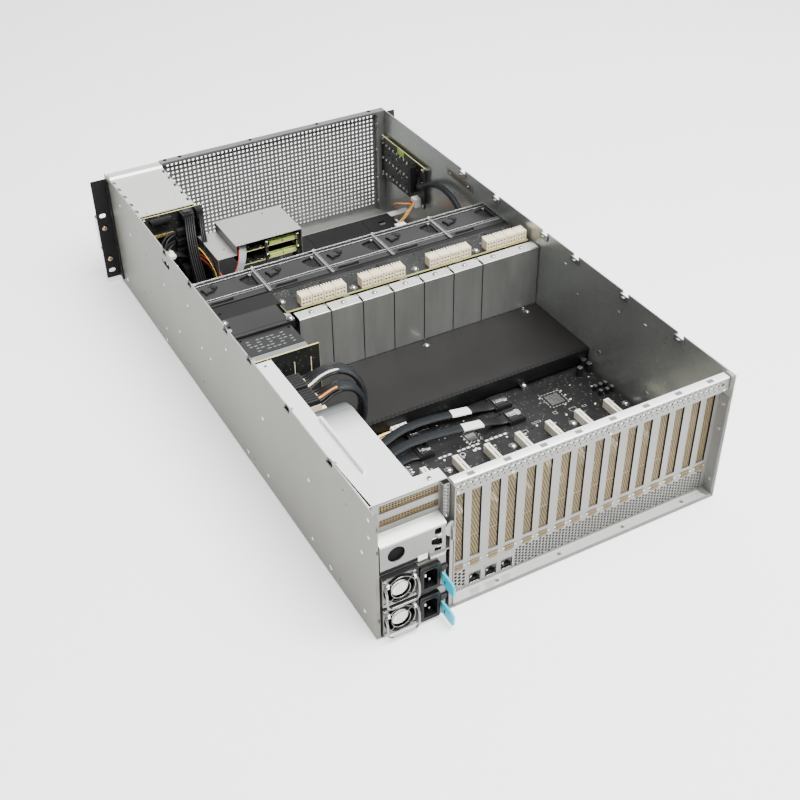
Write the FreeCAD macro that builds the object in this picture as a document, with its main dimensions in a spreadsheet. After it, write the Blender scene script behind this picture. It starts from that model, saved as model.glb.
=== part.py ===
import FreeCAD, Part
import Sketcher
import math
import os
import re

# 4U rack chassis with an open top: drive cage and perforated front, a wall of
# five fan modules, a card bay with eight double-width card slots, and two
# slide-in power supplies.  Millimetres.  Origin: middle of the underside.
# +Z up, -Y front, +Y rear, +X the power supply side.

doc = FreeCAD.newDocument("rack_server")
sheet = doc.addObject("Spreadsheet::Sheet", "Dims")

VALUES = [
    ("chassis_width", 440.0), ("chassis_depth", 800.0), ("chassis_height", 172.0),
    ("metal", 1.2), ("thin_metal", 0.9), ("gap", 0.3),
    ("ear_width", 21.3), ("ear_thick", 2.0), ("ear_low", 9.0), ("ear_high", 164.0),
    ("ear_slot_x", 232.55), ("ear_slot_low", 20.6), ("ear_slot_pitch", 88.9),
    ("ear_slot_half", 3.4), ("ear_slot_long", 10.0),
    ("grip_out", 35.0), ("grip_low", 40.0), ("grip_high", 90.0), ("grip_rad", 4.0),
    ("panel_rear", 384.0), ("panel_left", 128.0), ("panel_top", 150.0),
    ("window_wide", 12.0), ("window_low", 45.5), ("window_high", 146.0),
    ("slot_first", 115.5), ("slot_pair", 20.32), ("slot_pitch", 42.9),
    ("cover_wide", 18.4), ("cover_thick", 0.86),
    ("cage_left", 140.0), ("cage_right", 216.4), ("cage_back", -262.0), ("cage_top", 168.0),
    ("bay_low", 3.6), ("bay_pitch", 27.2), ("tray_high", 25.6), ("tray_back", -276.0),
    ("fan_edge", 212.9), ("fan_pitch", 86.3), ("fan_front", -101.6), ("fan_back", -47.6),
    ("fan_low", 58.8), ("fan_high", 145.0), ("fan_mid", 101.9), ("fan_bore", 39.5),
    ("rotor_rad", 38.2), ("rotor_hub", 17.0), ("rotor_front", -92.0), ("rotor_back", -62.0),
    ("shelf_low", 57.2), ("shroud_high", 58.2),
    ("band_front", -44.6), ("band_back", -36.4),
    ("board_thick", 2.0), ("power_top", 146.0),
    ("plate_first", 125.0), ("plate_pitch", 42.9), ("plate_rear", 33.2),
    ("tray_top", 59.5), ("tray_rear", 153.0),
    ("card_board_top", 34.0), ("slot_front", 233.0), ("slot_long", 89.0),
    ("slot_tall", 11.2), ("slot_wide", 7.6),
    ("supply_left", 141.0), ("supply_right", 213.4), ("supply_front", 214.0),
    ("supply_rear", 401.5), ("supply_high", 40.0), ("supply_one_low", 44.2), ("supply_two_low", 2.0),
    ("supply_fan_x", 194.0), ("supply_fan_rad", 17.5),
    ("inlet_left", 149.2), ("inlet_right", 172.4),
    ("bail_left", 175.7), ("bail_right", 212.1), ("bail_out", 5.0), ("bail_rise", 11.5), ("bail_rad", 1.25),
    ("column_left", 128.4), ("column_in", 129.6), ("cover_top", 166.6),
    ("blank_high", 124.6), ("ledge_top", 126.4),
    ("harness_rad", 6.5), ("data_rad", 4.0), ("lead_rad", 4.5),
]
for row, (alias, value) in enumerate(VALUES, start=1):
    sheet.set("A%d" % row, alias)
    sheet.set("B%d" % row, repr(value))
    sheet.setAlias("B%d" % row, alias)
doc.recompute()
NAMES = set(a for a, _ in VALUES)
NUM = dict(VALUES)


def ex(text):
    """An expression on the sheet, from alias words and numbers."""
    if not isinstance(text, str):
        return repr(float(text))
    return re.sub(r"[a-z_]+", lambda m: "Dims." + m.group(0) if m.group(0) in NAMES else m.group(0), text)


def num(text):
    """The present value of such an expression."""
    if not isinstance(text, str):
        return float(text)
    total = 0.0
    for sign, term in re.findall(r"([+-]?)([^+-]+)", text.replace(" ", "")):
        v = 1.0
        for op, fac in re.findall(r"([*/]?)([^*/]+)", term):
            f = NUM[fac] if fac in NUM else float(fac)
            v = v / f if op == "/" else v * f
        total += -v if sign == "-" else v
    return total


def sub(a, b):
    return "(" + ex(a) + ")-(" + ex(b) + ")"


def place(obj, x, y, z):
    obj.setExpression("Placement.Base.x", ex(x))
    obj.setExpression("Placement.Base.y", ex(y))
    obj.setExpression("Placement.Base.z", ex(z))


def box(name, x0, x1, y0, y1, z0, z1):
    b = doc.addObject("Part::Box", name)
    b.setExpression("Length", sub(x1, x0))
    b.setExpression("Width", sub(y1, y0))
    b.setExpression("Height", sub(z1, z0))
    place(b, x0, y0, z0)
    return b


ROT = {"x": FreeCAD.Rotation(FreeCAD.Vector(0, 1, 0), 90),
       "y": FreeCAD.Rotation(FreeCAD.Vector(1, 0, 0), -90),
       "z": FreeCAD.Rotation()}


def cyl(name, axis, x, y, z, rad, length):
    c = doc.addObject("Part::Cylinder", name)
    c.setExpression("Radius", ex(rad))
    c.setExpression("Height", ex(length))
    c.Placement = FreeCAD.Placement(FreeCAD.Vector(0, 0, 0), ROT[axis])
    place(c, x, y, z)
    return c


def many(kind, name, parts):
    o = doc.addObject(kind, name)
    if kind == "Part::Compound":
        o.Links = parts
    else:
        o.Shapes = parts
    return o


def fuse(name, parts):
    return many("Part::MultiFuse", name, parts) if len(parts) > 1 else parts[0]


def group(name, parts):
    return many("Part::Compound", name, parts)


def cut(name, base, tools):
    c = doc.addObject("Part::Cut", name)
    c.Base = base
    c.Tool = tools[0] if len(tools) == 1 else many("Part::MultiFuse", name + "_tool", tools)
    return c



def pipe(name, P, radii, rad):
    """A round bar along straight runs joined by tangent arcs of the given radii."""
    edges = []
    cur = P[0]
    for i in range(1, len(P) - 1):
        u, w = P[i - 1] - P[i], P[i + 1] - P[i]
        u.normalize()
        w.normalize()
        turn = math.pi - math.acos(max(-1.0, min(1.0, u.dot(w))))
        r = radii[i - 1]
        tl = r * math.tan(turn / 2)
        p1, p2 = P[i] + u * tl, P[i] + w * tl
        bis = u + w
        bis.normalize()
        mp = P[i] + bis * (r / math.cos(turn / 2)) - bis * r
        edges.append(Part.LineSegment(cur, p1).toShape())
        edges.append(Part.Arc(p1, mp, p2).toShape())
        cur = p2
    edges.append(Part.LineSegment(cur, P[-1]).toShape())
    wire = Part.Wire(edges)
    d = P[1] - P[0]
    d.normalize()
    solid = wire.makePipeShell([Part.Wire([Part.makeCircle(rad, P[0], d)])], True, False)
    o = doc.addObject("Part::Feature", name)
    o.Shape = solid
    o.Placement = FreeCAD.Placement()
    o.addProperty("App::PropertyFloat", "RouteLength")
    o.RouteLength = wire.Length
    return o


SUBPARTS = []


def keep(node, obj, finish=None):
    obj.Label = node
    SUBPARTS.append((node, obj))
    return obj


# ---- sheet metal bodies drawn as sketches ---------------------------------

def body(name):
    return doc.addObject("PartDesign::Body", name)


def plane(b, role):
    for f in b.Origin.OriginFeatures:
        if f.Role == role:
            return f


def sketch(b, name, role, offset="0"):
    s = b.newObject("Sketcher::SketchObject", name)
    s.AttachmentSupport = [(plane(b, role), "")]
    s.MapMode = "FlatFace"
    s.setExpression("AttachmentOffset.Base.z", ex(offset))
    return s


def rect(s, tag, x0, x1, y0, y1):
    """A rectangle held by four dimensions from the sketch origin."""
    a, c, d, e = num(x0), num(x1), num(y0), num(y1)
    V = FreeCAD.Vector
    i = s.GeometryCount
    s.addGeometry([Part.LineSegment(V(a, d, 0), V(c, d, 0)), Part.LineSegment(V(c, d, 0), V(c, e, 0)),
                   Part.LineSegment(V(c, e, 0), V(a, e, 0)), Part.LineSegment(V(a, e, 0), V(a, d, 0))], False)
    con = [Sketcher.Constraint("Coincident", i, 2, i + 1, 1), Sketcher.Constraint("Coincident", i + 1, 2, i + 2, 1),
           Sketcher.Constraint("Coincident", i + 2, 2, i + 3, 1), Sketcher.Constraint("Coincident", i + 3, 2, i, 1),
           Sketcher.Constraint("Horizontal", i), Sketcher.Constraint("Vertical", i + 1),
           Sketcher.Constraint("Horizontal", i + 2), Sketcher.Constraint("Vertical", i + 3)]
    s.addConstraint(con)
    for k, (kind, geo, pos, val, now) in enumerate((("DistanceX", i, 1, x0, a), ("DistanceX", i + 1, 1, x1, c),
                                                     ("DistanceY", i, 1, y0, d), ("DistanceY", i + 2, 1, y1, e))):
        n = s.addConstraint(Sketcher.Constraint(kind, -1, 1, geo, pos, now))
        s.renameConstraint(n, "%s_%d" % (tag, k))
        s.setExpression("Constraints.%s_%d" % (tag, k), ex(val))


def outline(s, pts):
    V = FreeCAD.Vector
    i = s.GeometryCount
    n = len(pts)
    s.addGeometry([Part.LineSegment(V(pts[k][0], pts[k][1], 0), V(pts[(k + 1) % n][0], pts[(k + 1) % n][1], 0))
                   for k in range(n)], False)
    s.addConstraint([Sketcher.Constraint("Coincident", i + k, 2, i + (k + 1) % n, 1) for k in range(n)])


def circle(s, tag, x, y, rad):
    i = s.addGeometry(Part.Circle(FreeCAD.Vector(num(x), num(y), 0), FreeCAD.Vector(0, 0, 1), num(rad)), False)
    for k, (con, val) in enumerate(((Sketcher.Constraint("DistanceX", -1, 1, i, 3, num(x)), x),
                                    (Sketcher.Constraint("DistanceY", -1, 1, i, 3, num(y)), y),
                                    (Sketcher.Constraint("Radius", i, num(rad)), rad))):
        n = s.addConstraint(con)
        s.renameConstraint(n, "%s_%d" % (tag, k))
        s.setExpression("Constraints.%s_%d" % (tag, k), ex(val))


def pad(b, s, length, name, back=False):
    p = b.newObject("PartDesign::Pad", name)
    p.Profile = s
    p.setExpression("Length", ex(length))
    p.Reversed = back
    b.Tip = p
    return p


def pocket(b, s, name, length="5"):
    p = b.newObject("PartDesign::Pocket", name)
    p.Profile = s
    p.setExpression("Length", ex(length))
    p.Midplane = True
    b.Tip = p
    return p


HW = "chassis_width/2"
HD = "chassis_depth/2"

# floor pan
b = body("floor_body")
s = sketch(b, "floor_outline", "XY_Plane")
rect(s, "o", "-" + HW, HW, "-" + HD, HD)
pad(b, s, "metal", "floor_pad")
keep("chassis_floor", b)

# side walls: the sketch plane is YZ; notches along the top edge for the lid hooks
NOTCH_Y = [-158.0, -71.0, 42.0, 110.0, 209.0, 309.0]
for node, side in (("side_wall_right", 1), ("side_wall_left", -1)):
    b = body(node + "_body")
    off = HW + "-metal" if side > 0 else "-" + HW
    s = sketch(b, node + "_outline", "YZ_Plane", off)
    rect(s, "o", "-" + HD, HD, "metal", "chassis_height")
    pad(b, s, "metal", node + "_pad")
    doc.recompute()
    s = sketch(b, node + "_notches", "YZ_Plane", off)
    top = NUM["chassis_height"]
    for y in NOTCH_Y:
        outline(s, [(y - 5.0, top + 1), (y - 5.0, top - 4.0), (y - 8.5, top - 4.0), (y - 8.5, top - 8.0),
                    (y + 3.0, top - 8.0), (y + 5.0, top - 5.5), (y + 5.0, top + 1)])
    pocket(b, s, node + "_notch")
    doc.recompute()
    s = sketch(b, node + "_latch_window", "YZ_Plane", off)
    rect(s, "w", -172.0, -146.0, 148.0, 156.5)
    pocket(b, s, node + "_latch_cut")
    if side > 0:
        doc.recompute()
        s = sketch(b, node + "_return", "XY_Plane", "metal")
        rect(s, "r", HW + "-6", HW + "-metal/2", HD + "-metal", HD)
        pad(b, s, "chassis_height-metal", node + "_return_pad")
    keep(node, b)

# front panel with its folded lip and end post (the fine perforation is a surface finish)
b = body("front_body")
s = sketch(b, "front_outline", "XZ_Plane", HD + "-metal")
rect(s, "o", "-" + HW + "+metal", "cage_left-gap", "metal", "chassis_height")
pad(b, s, "metal", "front_pad")
doc.recompute()
s = sketch(b, "front_post", "XZ_Plane", HD + "-12")
rect(s, "p", "-" + HW + "+metal", "-" + HW + "+13", "metal", "chassis_height-1")
pad(b, s, "11", "front_post_pad")
keep("front_panel", b)

# rack ears: angle plates with two oval slots each, and two screw holes for the handle
ears = []
for side in (1, -1):
    tag = "ear_r" if side > 0 else "ear_l"
    sx = (lambda v: v) if side > 0 else (lambda v: "-(" + v + ")")

    def span(a, c):
        return (a, c) if side > 0 else ("0-" + c, "0-" + a)
    x0, x1 = ("chassis_width/2", "chassis_width/2+ear_width") if side > 0 else ("-chassis_width/2-ear_width", "-chassis_width/2")
    plate = box(tag + "_plate", x0, x1, "-" + HD, "-" + HD + "+ear_thick", "ear_low", "ear_high")
    f0, f1 = ("chassis_width/2", "chassis_width/2+ear_thick") if side > 0 else ("-chassis_width/2-ear_thick", "-chassis_width/2")
    flange = box(tag + "_flange", f0, f1, "-" + HD, "-" + HD + "+16", "ear_low", "ear_high")
    tools = []
    for k, zz in enumerate(("ear_slot_low", "ear_slot_low+ear_slot_pitch")):
        cx = "ear_slot_x" if side > 0 else "-ear_slot_x"
        tools.append(box("%s_slot%d" % (tag, k), cx + "-ear_slot_long/2+ear_slot_half", cx + "+ear_slot_long/2-ear_slot_half",
                         "-" + HD + "-1", "-" + HD + "+ear_thick+1", zz + "-ear_slot_half", zz + "+ear_slot_half"))
        for m, sgn in enumerate(("-ear_slot_long/2+ear_slot_half", "+ear_slot_long/2-ear_slot_half")):
            tools.append(cyl("%s_slotend%d%d" % (tag, k, m), "y", cx + sgn, "-" + HD + "-1", zz, "ear_slot_half", "ear_thick+2"))
    solid = fuse(tag + "_angle", [plate, flange])
    ears.append(cut(tag, solid, tools))
keep("rack_ears", group("rack_ears_group", ears))

# front handles: a bar on two posts, standing forward of each ear
grips = []
for side in (1, -1):
    tag = "grip_r" if side > 0 else "grip_l"
    cx = "ear_slot_x" if side > 0 else "-ear_slot_x"
    parts = [cyl(tag + "_post_a", "y", cx, "-" + HD + "-grip_out", "grip_low", "grip_rad", "grip_out"),
             cyl(tag + "_post_b", "y", cx, "-" + HD + "-grip_out", "grip_high", "grip_rad", "grip_out"),
             cyl(tag + "_bar", "z", cx, "-" + HD + "-grip_out", "grip_low", "grip_rad", "grip_high-grip_low")]
    for n, zz in (("c", "grip_low"), ("d", "grip_high")):
        ball = doc.addObject("Part::Sphere", tag + "_corner_" + n)
        ball.setExpression("Radius", ex("grip_rad"))
        place(ball, cx, "-" + HD + "-grip_out", zz)
        parts.append(ball)
    grips.append(fuse(tag, parts))
keep("front_handles", group("front_handles_group", grips))

# drive cage: top, bottom, two sides and five shelf pairs, open at front and back
cl, cr = "cage_left", "cage_right"
cf, cb = "-chassis_depth/2+0.4", "cage_back"
parts = [box("cage_top", cl, cr, cf, cb, "cage_top-metal", "cage_top"),
         box("cage_bottom", cl, cr, cf, cb, "metal", "metal+metal"),
         box("cage_in", cl, cl + "+metal", cf, cb, "metal", "cage_top"),
         box("cage_out", cr + "-metal", cr, cf, cb, "metal", "cage_top")]
for k in range(1, 6):
    z = "bay_low+%d*bay_pitch-0.7" % k
    parts.append(box("cage_rail_a%d" % k, cl, cl + "+4", cf, "cage_back-16", z + "-0.5", z + "+0.3"))
    parts.append(box("cage_rail_b%d" % k, cr + "-4", cr, cf, "cage_back-16", z + "-0.5", z + "+0.3"))
keep("drive_cage", fuse("drive_cage_shell", parts))

# drive trays: a box for the drive and a bezel at the front
for k in range(6):
    z0 = "bay_low+%d*bay_pitch" % k
    tray = box("tray%d_box" % (k + 1), cl + "+4.6", cr + "-4.6", "-" + HD + "+2", "tray_back", z0 + "+0.6", z0 + "+21")
    face = box("tray%d_face" % (k + 1), cl + "+1.8", cr + "-1.8", "-" + HD + "-3", "-" + HD + "+2", z0, z0 + "+tray_high")
    lever = box("tray%d_lever" % (k + 1), cl + "+6", cl + "+34", "-" + HD + "-5.5", "-" + HD + "-3", z0 + "+8", z0 + "+18")
    keep("drive_tray_%d" % (k + 1), fuse("tray%d" % (k + 1), [tray, face, lever]))

# drive backplane and its row of plugs
parts = [box("backplane_board", "130", "cage_right", "cage_back+0.3", "cage_back+0.3+board_thick", 3.0, 165.0)]
for k in range(6):
    z0 = "bay_low+%d*bay_pitch" % k
    y0 = "cage_back+0.3+board_thick"
    parts.append(box("backplane_plug_a%d" % k, 140.0, 162.0, y0, y0 + "+13", z0 + "+7", z0 + "+17"))
    parts.append(box("backplane_plug_b%d" % k, 172.0, 208.0, y0, y0 + "+9", z0 + "+5", z0 + "+13"))
keep("drive_backplane", fuse("drive_backplane_all", parts))

# riser box: light metal hood with two boards stacked in its rear opening
parts = [box("riser_top", 31.0, 125.0, -232.0, -158.0, 148.8, 150.0),
         box("riser_side_out", 123.8, 125.0, -232.0, -158.0, 62.0, 148.8),
         box("riser_side_in", 31.0, 32.2, -232.0, -158.0, 100.0, 148.8),
         box("riser_front", 32.2, 123.8, -232.0, -230.8, 100.0, 148.8)]
hood = fuse("riser_hood", parts)
boards = []
for k, z in enumerate((129.0, 112.0)):
    boards.append(fuse("riser_card%d" % k, [
        box("riser_board%d" % k, 33.5, 118.0, -228.0, -164.0, z, z + 1.6),
        box("riser_socket%d" % k, 35.0, 76.0, -174.0, -163.0, z + 1.6, z + 6.5)]))
keep("riser_box", group("riser_box_group", [hood] + boards))

# main board low in the chassis, with two heat sinks and the memory banks
parts = [box("main_board", -200.0, 120.0, -262.0, 368.0, 4.4, 6.2)]
for k, (x, y) in enumerate(((-100.0, -170.0), (20.0, -170.0))):
    parts.append(box("sink%d" % k, x - 45, x + 45, y - 40, y + 40, 6.2, 50.0))
for k in range(4):
    parts.append(box("memory%d" % k, -48.0 + k * 4.6, -45.4 + k * 4.6, -240.0, -110.0, 6.2, 44.0))
for k, (x, y) in enumerate(((-190, -252), (110, -252), (-190, 60), (110, 60), (-190, 356), (40, 356))):
    parts.append(cyl("main_spacer%d" % k, "z", x, y, "metal", 3.0, "3.4"))
keep("motherboard", group("motherboard_group", parts))

# black air shroud over the processors, open towards the front and the far wall
parts = [box("shroud_top", -166.0, 129.2, -287.0, "-104.6", "shelf_low", "shroud_high"),
         box("shroud_top_side", 129.2, 218.0, -244.0, "-104.6", "shelf_low", "shroud_high"),
         box("shroud_side", -166.0, -164.8, -287.0, "-104.6", "12", "shelf_low"),
         box("shroud_front", -164.8, 128.0, -287.0, -285.8, 40.0, "shelf_low")]
keep("air_shroud", fuse("air_shroud_all", parts))

# board standing on the far side wall in the front bay
parts = [box("wall_pcb", -214.6, -212.6, -387.4, -254.0, 66.0, 133.0),
         box("wall_socket_a", -212.6, -203.0, -297.0, -287.0, 76.0, 126.0),
         box("wall_socket_b", -212.6, -202.0, -272.0, -262.0, 72.0, 112.0)]
for k, (y, z) in enumerate(((-383, 70), (-383, 129), (-258, 70), (-258, 129))):
    parts.append(cyl("wall_spacer%d" % k, "x", -218.8, y, z, 3.0, 4.2))
keep("wall_board", fuse("wall_board_all", parts))

# fan cage: shelf, six dividers and the front sheet with five round openings
fx0 = "fan_edge-5*fan_pitch"
parts = [box("fan_shelf", fx0 + "-0.1", "fan_edge+0.6", "-104.4", "-44.8", "shelf_low", "shroud_high"),
         box("fan_leg_a", "fan_edge-0.6", "fan_edge+0.6", "-104.4", "-44.8", "metal", "shelf_low"),
         box("fan_leg_b", "-206", "-204.8", "-104.4", "-44.8", "metal", "shelf_low")]
for k in range(6):
    x = "fan_edge-%d*fan_pitch" % k
    w = "-0.1" if k == 5 else "-0.6"
    parts.append(box("fan_divider%d" % k, x + w, x + "+0.6", "-103.4", "-44.8", "shroud_high", "fan_high+0.4"))
for k in range(5):
    xc = "fan_edge-%d*fan_pitch-fan_pitch/2" % k
    face = box("fan_face%d_sheet" % k, xc + "-fan_pitch/2+0.7", xc + "+fan_pitch/2-0.7", "-104.4", "-103.4", "shroud_high", "fan_high+0.4")
    parts.append(cut("fan_face%d" % k, face, [cyl("fan_face%d_hole" % k, "y", xc, "-106", "fan_mid", "fan_bore", "4")]))
keep("fan_cage", group("fan_cage_group", parts))

# fan modules: housing with a round duct, a hub carrier on three arms, and the rotor
for k in range(5):
    n = k + 1
    xc = "fan_edge-%d*fan_pitch-fan_pitch/2" % k
    shell = box("fan%d_block" % n, xc + "-fan_pitch/2+1.1", xc + "+fan_pitch/2-1.1", "fan_front", "fan_back", "fan_low", "fan_high")
    duct = cyl("fan%d_duct" % n, "y", xc, "fan_front-1", "fan_mid", "fan_bore", "fan_back-fan_front+2")
    ring = cut("fan%d_ring" % n, shell, [duct])
    arms = [cyl("fan%d_carrier" % n, "y", xc, "fan_back-9", "fan_mid", "rotor_hub", "6")]
    for j in range(3):
        a = doc.addObject("Part::Box", "fan%d_arm%d" % (n, j))
        a.setExpression("Length", ex("fan_bore+1"))
        a.setExpression("Width", ex("4"))
        a.setExpression("Height", ex("5"))
        a.Placement = FreeCAD.Placement(FreeCAD.Vector(0, 0, 0), FreeCAD.Rotation(FreeCAD.Vector(0, 1, 0), 30 + 120 * j),
                                        FreeCAD.Vector(0, 0, 0))
        place(a, xc, "fan_back-8", "fan_mid")
        arms.append(a)
    keep("fan_%d_frame" % n, fuse("fan%d_frame" % n, [ring] + arms))
    blades = [cyl("fan%d_hub" % n, "y", xc, "rotor_front", "fan_mid", "rotor_hub", "rotor_back-rotor_front")]
    for j in range(7):
        bl = doc.addObject("Part::Box", "fan%d_blade%d" % (n, j))
        bl.setExpression("Length", ex("rotor_rad-rotor_hub+1.2"))
        bl.setExpression("Width", ex("30"))
        bl.setExpression("Height", ex("1.6"))
        ang = 360.0 / 7 * j
        r1 = FreeCAD.Rotation(FreeCAD.Vector(0, 1, 0), ang)
        tilt = FreeCAD.Rotation(FreeCAD.Vector(1, 0, 0), 38)
        start = r1.multVec(FreeCAD.Vector(NUM["rotor_hub"] - 1.6, 0, 0))
        mid = r1.multiply(tilt).multVec(FreeCAD.Vector(0, 15.0, 0.8))
        bl.Placement = FreeCAD.Placement(FreeCAD.Vector(0, 0, 0), r1.multiply(tilt))
        place(bl, xc + "%+.4f" % (start.x - mid.x), "rotor_front/2+rotor_back/2%+.4f" % (-mid.y), "fan_mid%+.4f" % (start.z - mid.z))
        blades.append(bl)
    keep("fan_%d_rotor" % n, fuse("fan%d_rotor" % n, blades))

# black band behind the fans, and the bridge plate beside it
band = fuse("band_angle", [box("band_top", "-217.6", "130.4", "band_front+0.6", "band_back", "fan_high-1.2", "fan_high"),
                           box("band_lip", "-217.6", "130.4", "band_back-1.2", "band_back", "fan_high-16", "fan_high-1.2")])
bridge = fuse("bridge_angle", [box("bridge_top", "131", "213", "-36", "36", "148.8", "150"),
                               box("bridge_lip", "131", "213", "34.8", "36", "140", "148.8"),
                               box("bridge_foot", "131", "213", "-36", "-34.8", "140", "148.8")])
keep("fan_cage_band", group("fan_cage_band_group", [band, bridge]))

# power distribution board with sixteen plugs in four groups
b = body("power_board_body")
s = sketch(b, "power_board_outline", "XY_Plane", "power_top-board_thick")
rect(s, "o", "-216.5", "130.4", "band_back+0.4", "9.5")
pad(b, s, "board_thick", "power_board_pad")
doc.recompute()
s = sketch(b, "power_board_holes", "XY_Plane", "power_top-board_thick")
for k, (x, y) in enumerate((("126.6", "-12"), ("36.5", "2"), ("-51", "2"), ("-141", "2"))):
    circle(s, "c%d" % k, x, y, "2.1")
pocket(b, s, "power_board_drill")
keep("power_board", b)
plugs = []
for g, x0 in enumerate((48.6, -33.6, -129.8, -214.4)):
    for k in range(4):
        a = x0 + 15.5 * k
        blk = box("plug%d%d_block" % (g, k), a, a + 14.9, "-3.5", "8.5", "power_top", "power_top+13")
        mouth = box("plug%d%d_mouth" % (g, k), a + 1.0, a + 13.9, "5.5", "9.5", "power_top+1.2", "power_top+11.8")
        plugs.append(cut("plug%d%d" % (g, k), blk, [mouth]))
keep("power_board_connectors", group("power_board_connectors_group", plugs))

# seven upright plates between the power board and the card bay, the last of double width
plates = []
for k in range(7):
    x1 = "plate_first-%d*plate_pitch" % k
    x0 = x1 + ("-2*plate_pitch+0.4" if k == 6 else "-plate_pitch+0.4")
    plates.append(fuse("bay_plate%d" % k, [
        box("bay_plate%d_face" % k, x0, x1 + "-0.4", "plate_rear-metal", "plate_rear", "tray_top+0.2", "146"),
        box("bay_plate%d_top" % k, x0, x1 + "-0.4", "16.5", "plate_rear-metal", "144.8", "146")]))
keep("partition_plates", group("partition_plates_group", plates))

# housing of the supply's distribution block, and its two boards
keep("pdb_housing", box("pdb_housing_block", 138.0, 208.0, 37.0, 90.8, "metal", 147.0))
keep("pdb_board", group("pdb_board_group", [
    box("pdb_board_cross", 127.5, 213.0, 91.0, 93.0, 50.0, 150.0),
    box("pdb_board_long", 198.6, 200.6, 112.0, 212.0, 50.0, 163.5),
    box("pdb_board_flat", 128.6, 213.0, 94.0, 213.0, 48.0, 50.0)] + [
    cyl("pdb_spacer%d" % k, "z", x, y, "metal", 3.0, "46.8")
    for k, (x, y) in enumerate(((134.0, 100.0), (207.0, 100.0), (134.0, 207.0), (207.0, 207.0)))]))

# card tray: black plate with a rear step
keep("card_support_tray", fuse("card_support_tray_all", [
    box("card_tray_top", "-218.4", "127", "34", "tray_rear", "tray_top-metal", "tray_top"),
    box("card_tray_step", "-218.4", "127", "tray_rear-metal", "tray_rear", "38", "tray_top-metal"),
    box("card_tray_front", "-218.4", "127", "34", "35.2", "12", "tray_top-metal")]))

# card board on its spacers
b = body("card_board_body")
s = sketch(b, "card_board_outline", "XY_Plane", "card_board_top-board_thick")
rect(s, "o", "-215.5", "127.2", "112", "346")
pad(b, s, "board_thick", "card_board_pad")
doc.recompute()
s = sketch(b, "card_board_holes", "XY_Plane", "card_board_top-board_thick")
k = 0
for x in ("41.5", "-45.5", "-131.3", "-210"):
    for y in ("141", "241"):
        circle(s, "c%d" % k, x, y, "2.1")
        k += 1
pocket(b, s, "card_board_drill")
keep("pcie_board", b)

# card slots: eight, a double width apart
slots = []
for k in range(8):
    xc = "slot_first-%d*slot_pitch" % k
    blk = box("slot%d_block" % k, xc + "-slot_wide/2", xc + "+slot_wide/2", "slot_front", "slot_front+slot_long",
              "card_board_top", "card_board_top+slot_tall")
    ga = box("slot%d_groove_a" % k, xc + "-0.9", xc + "+0.9", "slot_front+2.5", "slot_front+slot_long-17",
             "card_board_top+3", "card_board_top+slot_tall+1")
    gb = box("slot%d_groove_b" % k, xc + "-0.9", xc + "+0.9", "slot_front+slot_long-15", "slot_front+slot_long-2.5",
             "card_board_top+3", "card_board_top+slot_tall+1")
    slots.append(cut("slot%d" % k, blk, [ga, gb]))
keep("pcie_slots", group("pcie_slots_group", slots))

# plugs: those on the card board, and those at both ends of the supply harness
blocks = [box("data_plug_a", -85.0, -61.0, 158.0, 182.0, "card_board_top", "card_board_top+8"),
          box("data_plug_b", -85.0, -61.0, 188.5, 212.5, "card_board_top", "card_board_top+8"),
          box("data_plug_c", 43.0, 63.0, 193.5, 215.0, "card_board_top", "card_board_top+8"),
          box("data_plug_d", 41.0, 57.0, 163.0, 178.0, "card_board_top", "card_board_top+7"),
          box("aux_plug", 48.5, 70.5, 154.0, 162.0, "card_board_top", "card_board_top+12")]
blocks += [
    box("harness_plug_a", 180.5, 198.6, 152.0, 178.0, 150.0, 165.2),
    box("harness_plug_b", 180.5, 198.6, 182.0, 208.0, 150.0, 165.2),
    box("harness_foot_a", 129.0, 146.0, 178.0, 196.0, 50.0, 64.0),
    box("harness_foot_b", 147.5, 164.5, 190.0, 208.0, 50.0, 64.0)]
keep("cable_plugs", group("cable_plugs_group", blocks))

# rear panel with sixteen card windows, three port openings and a top shelf
b = body("rear_body")
s = sketch(b, "rear_outline", "XZ_Plane", "-panel_rear")
rect(s, "o", "-" + HW + "+metal", "panel_left", "metal", "panel_top")
pad(b, s, "metal", "rear_pad")
doc.recompute()
s = sketch(b, "rear_windows", "XZ_Plane", "-panel_rear")
rect(s, "a", "slot_first-window_wide/2", "slot_first+window_wide/2", "window_low", "window_high")
rect(s, "b", "slot_first-slot_pair-window_wide/2", "slot_first-slot_pair+window_wide/2", "window_low", "window_high")
pk = pocket(b, s, "rear_window_pair")
doc.recompute()
pat = b.newObject("PartDesign::LinearPattern", "rear_window_row")
pat.Originals = [pk]
pat.Direction = (s, ["H_Axis"])
pat.Reversed = True
pat.Occurrences = 8
pat.setExpression("Length", ex("7*slot_pitch"))
b.Tip = pat
doc.recompute()
s = sketch(b, "rear_ports", "XZ_Plane", "-panel_rear")
for k, x in enumerate(("94.3", "74.2", "54.3")):
    rect(s, "p%d" % k, x + "-7.6", x + "+7.6", "4.8", "21.6")
pocket(b, s, "rear_port_cut")
doc.recompute()
s = sketch(b, "rear_shelf", "XY_Plane", "panel_top-metal")
rect(s, "s", "-" + HW + "+metal", "panel_left", "panel_rear-metal/2", "panel_rear+8")
pad(b, s, "metal", "rear_shelf_pad")
keep("rear_panel", b)

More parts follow.
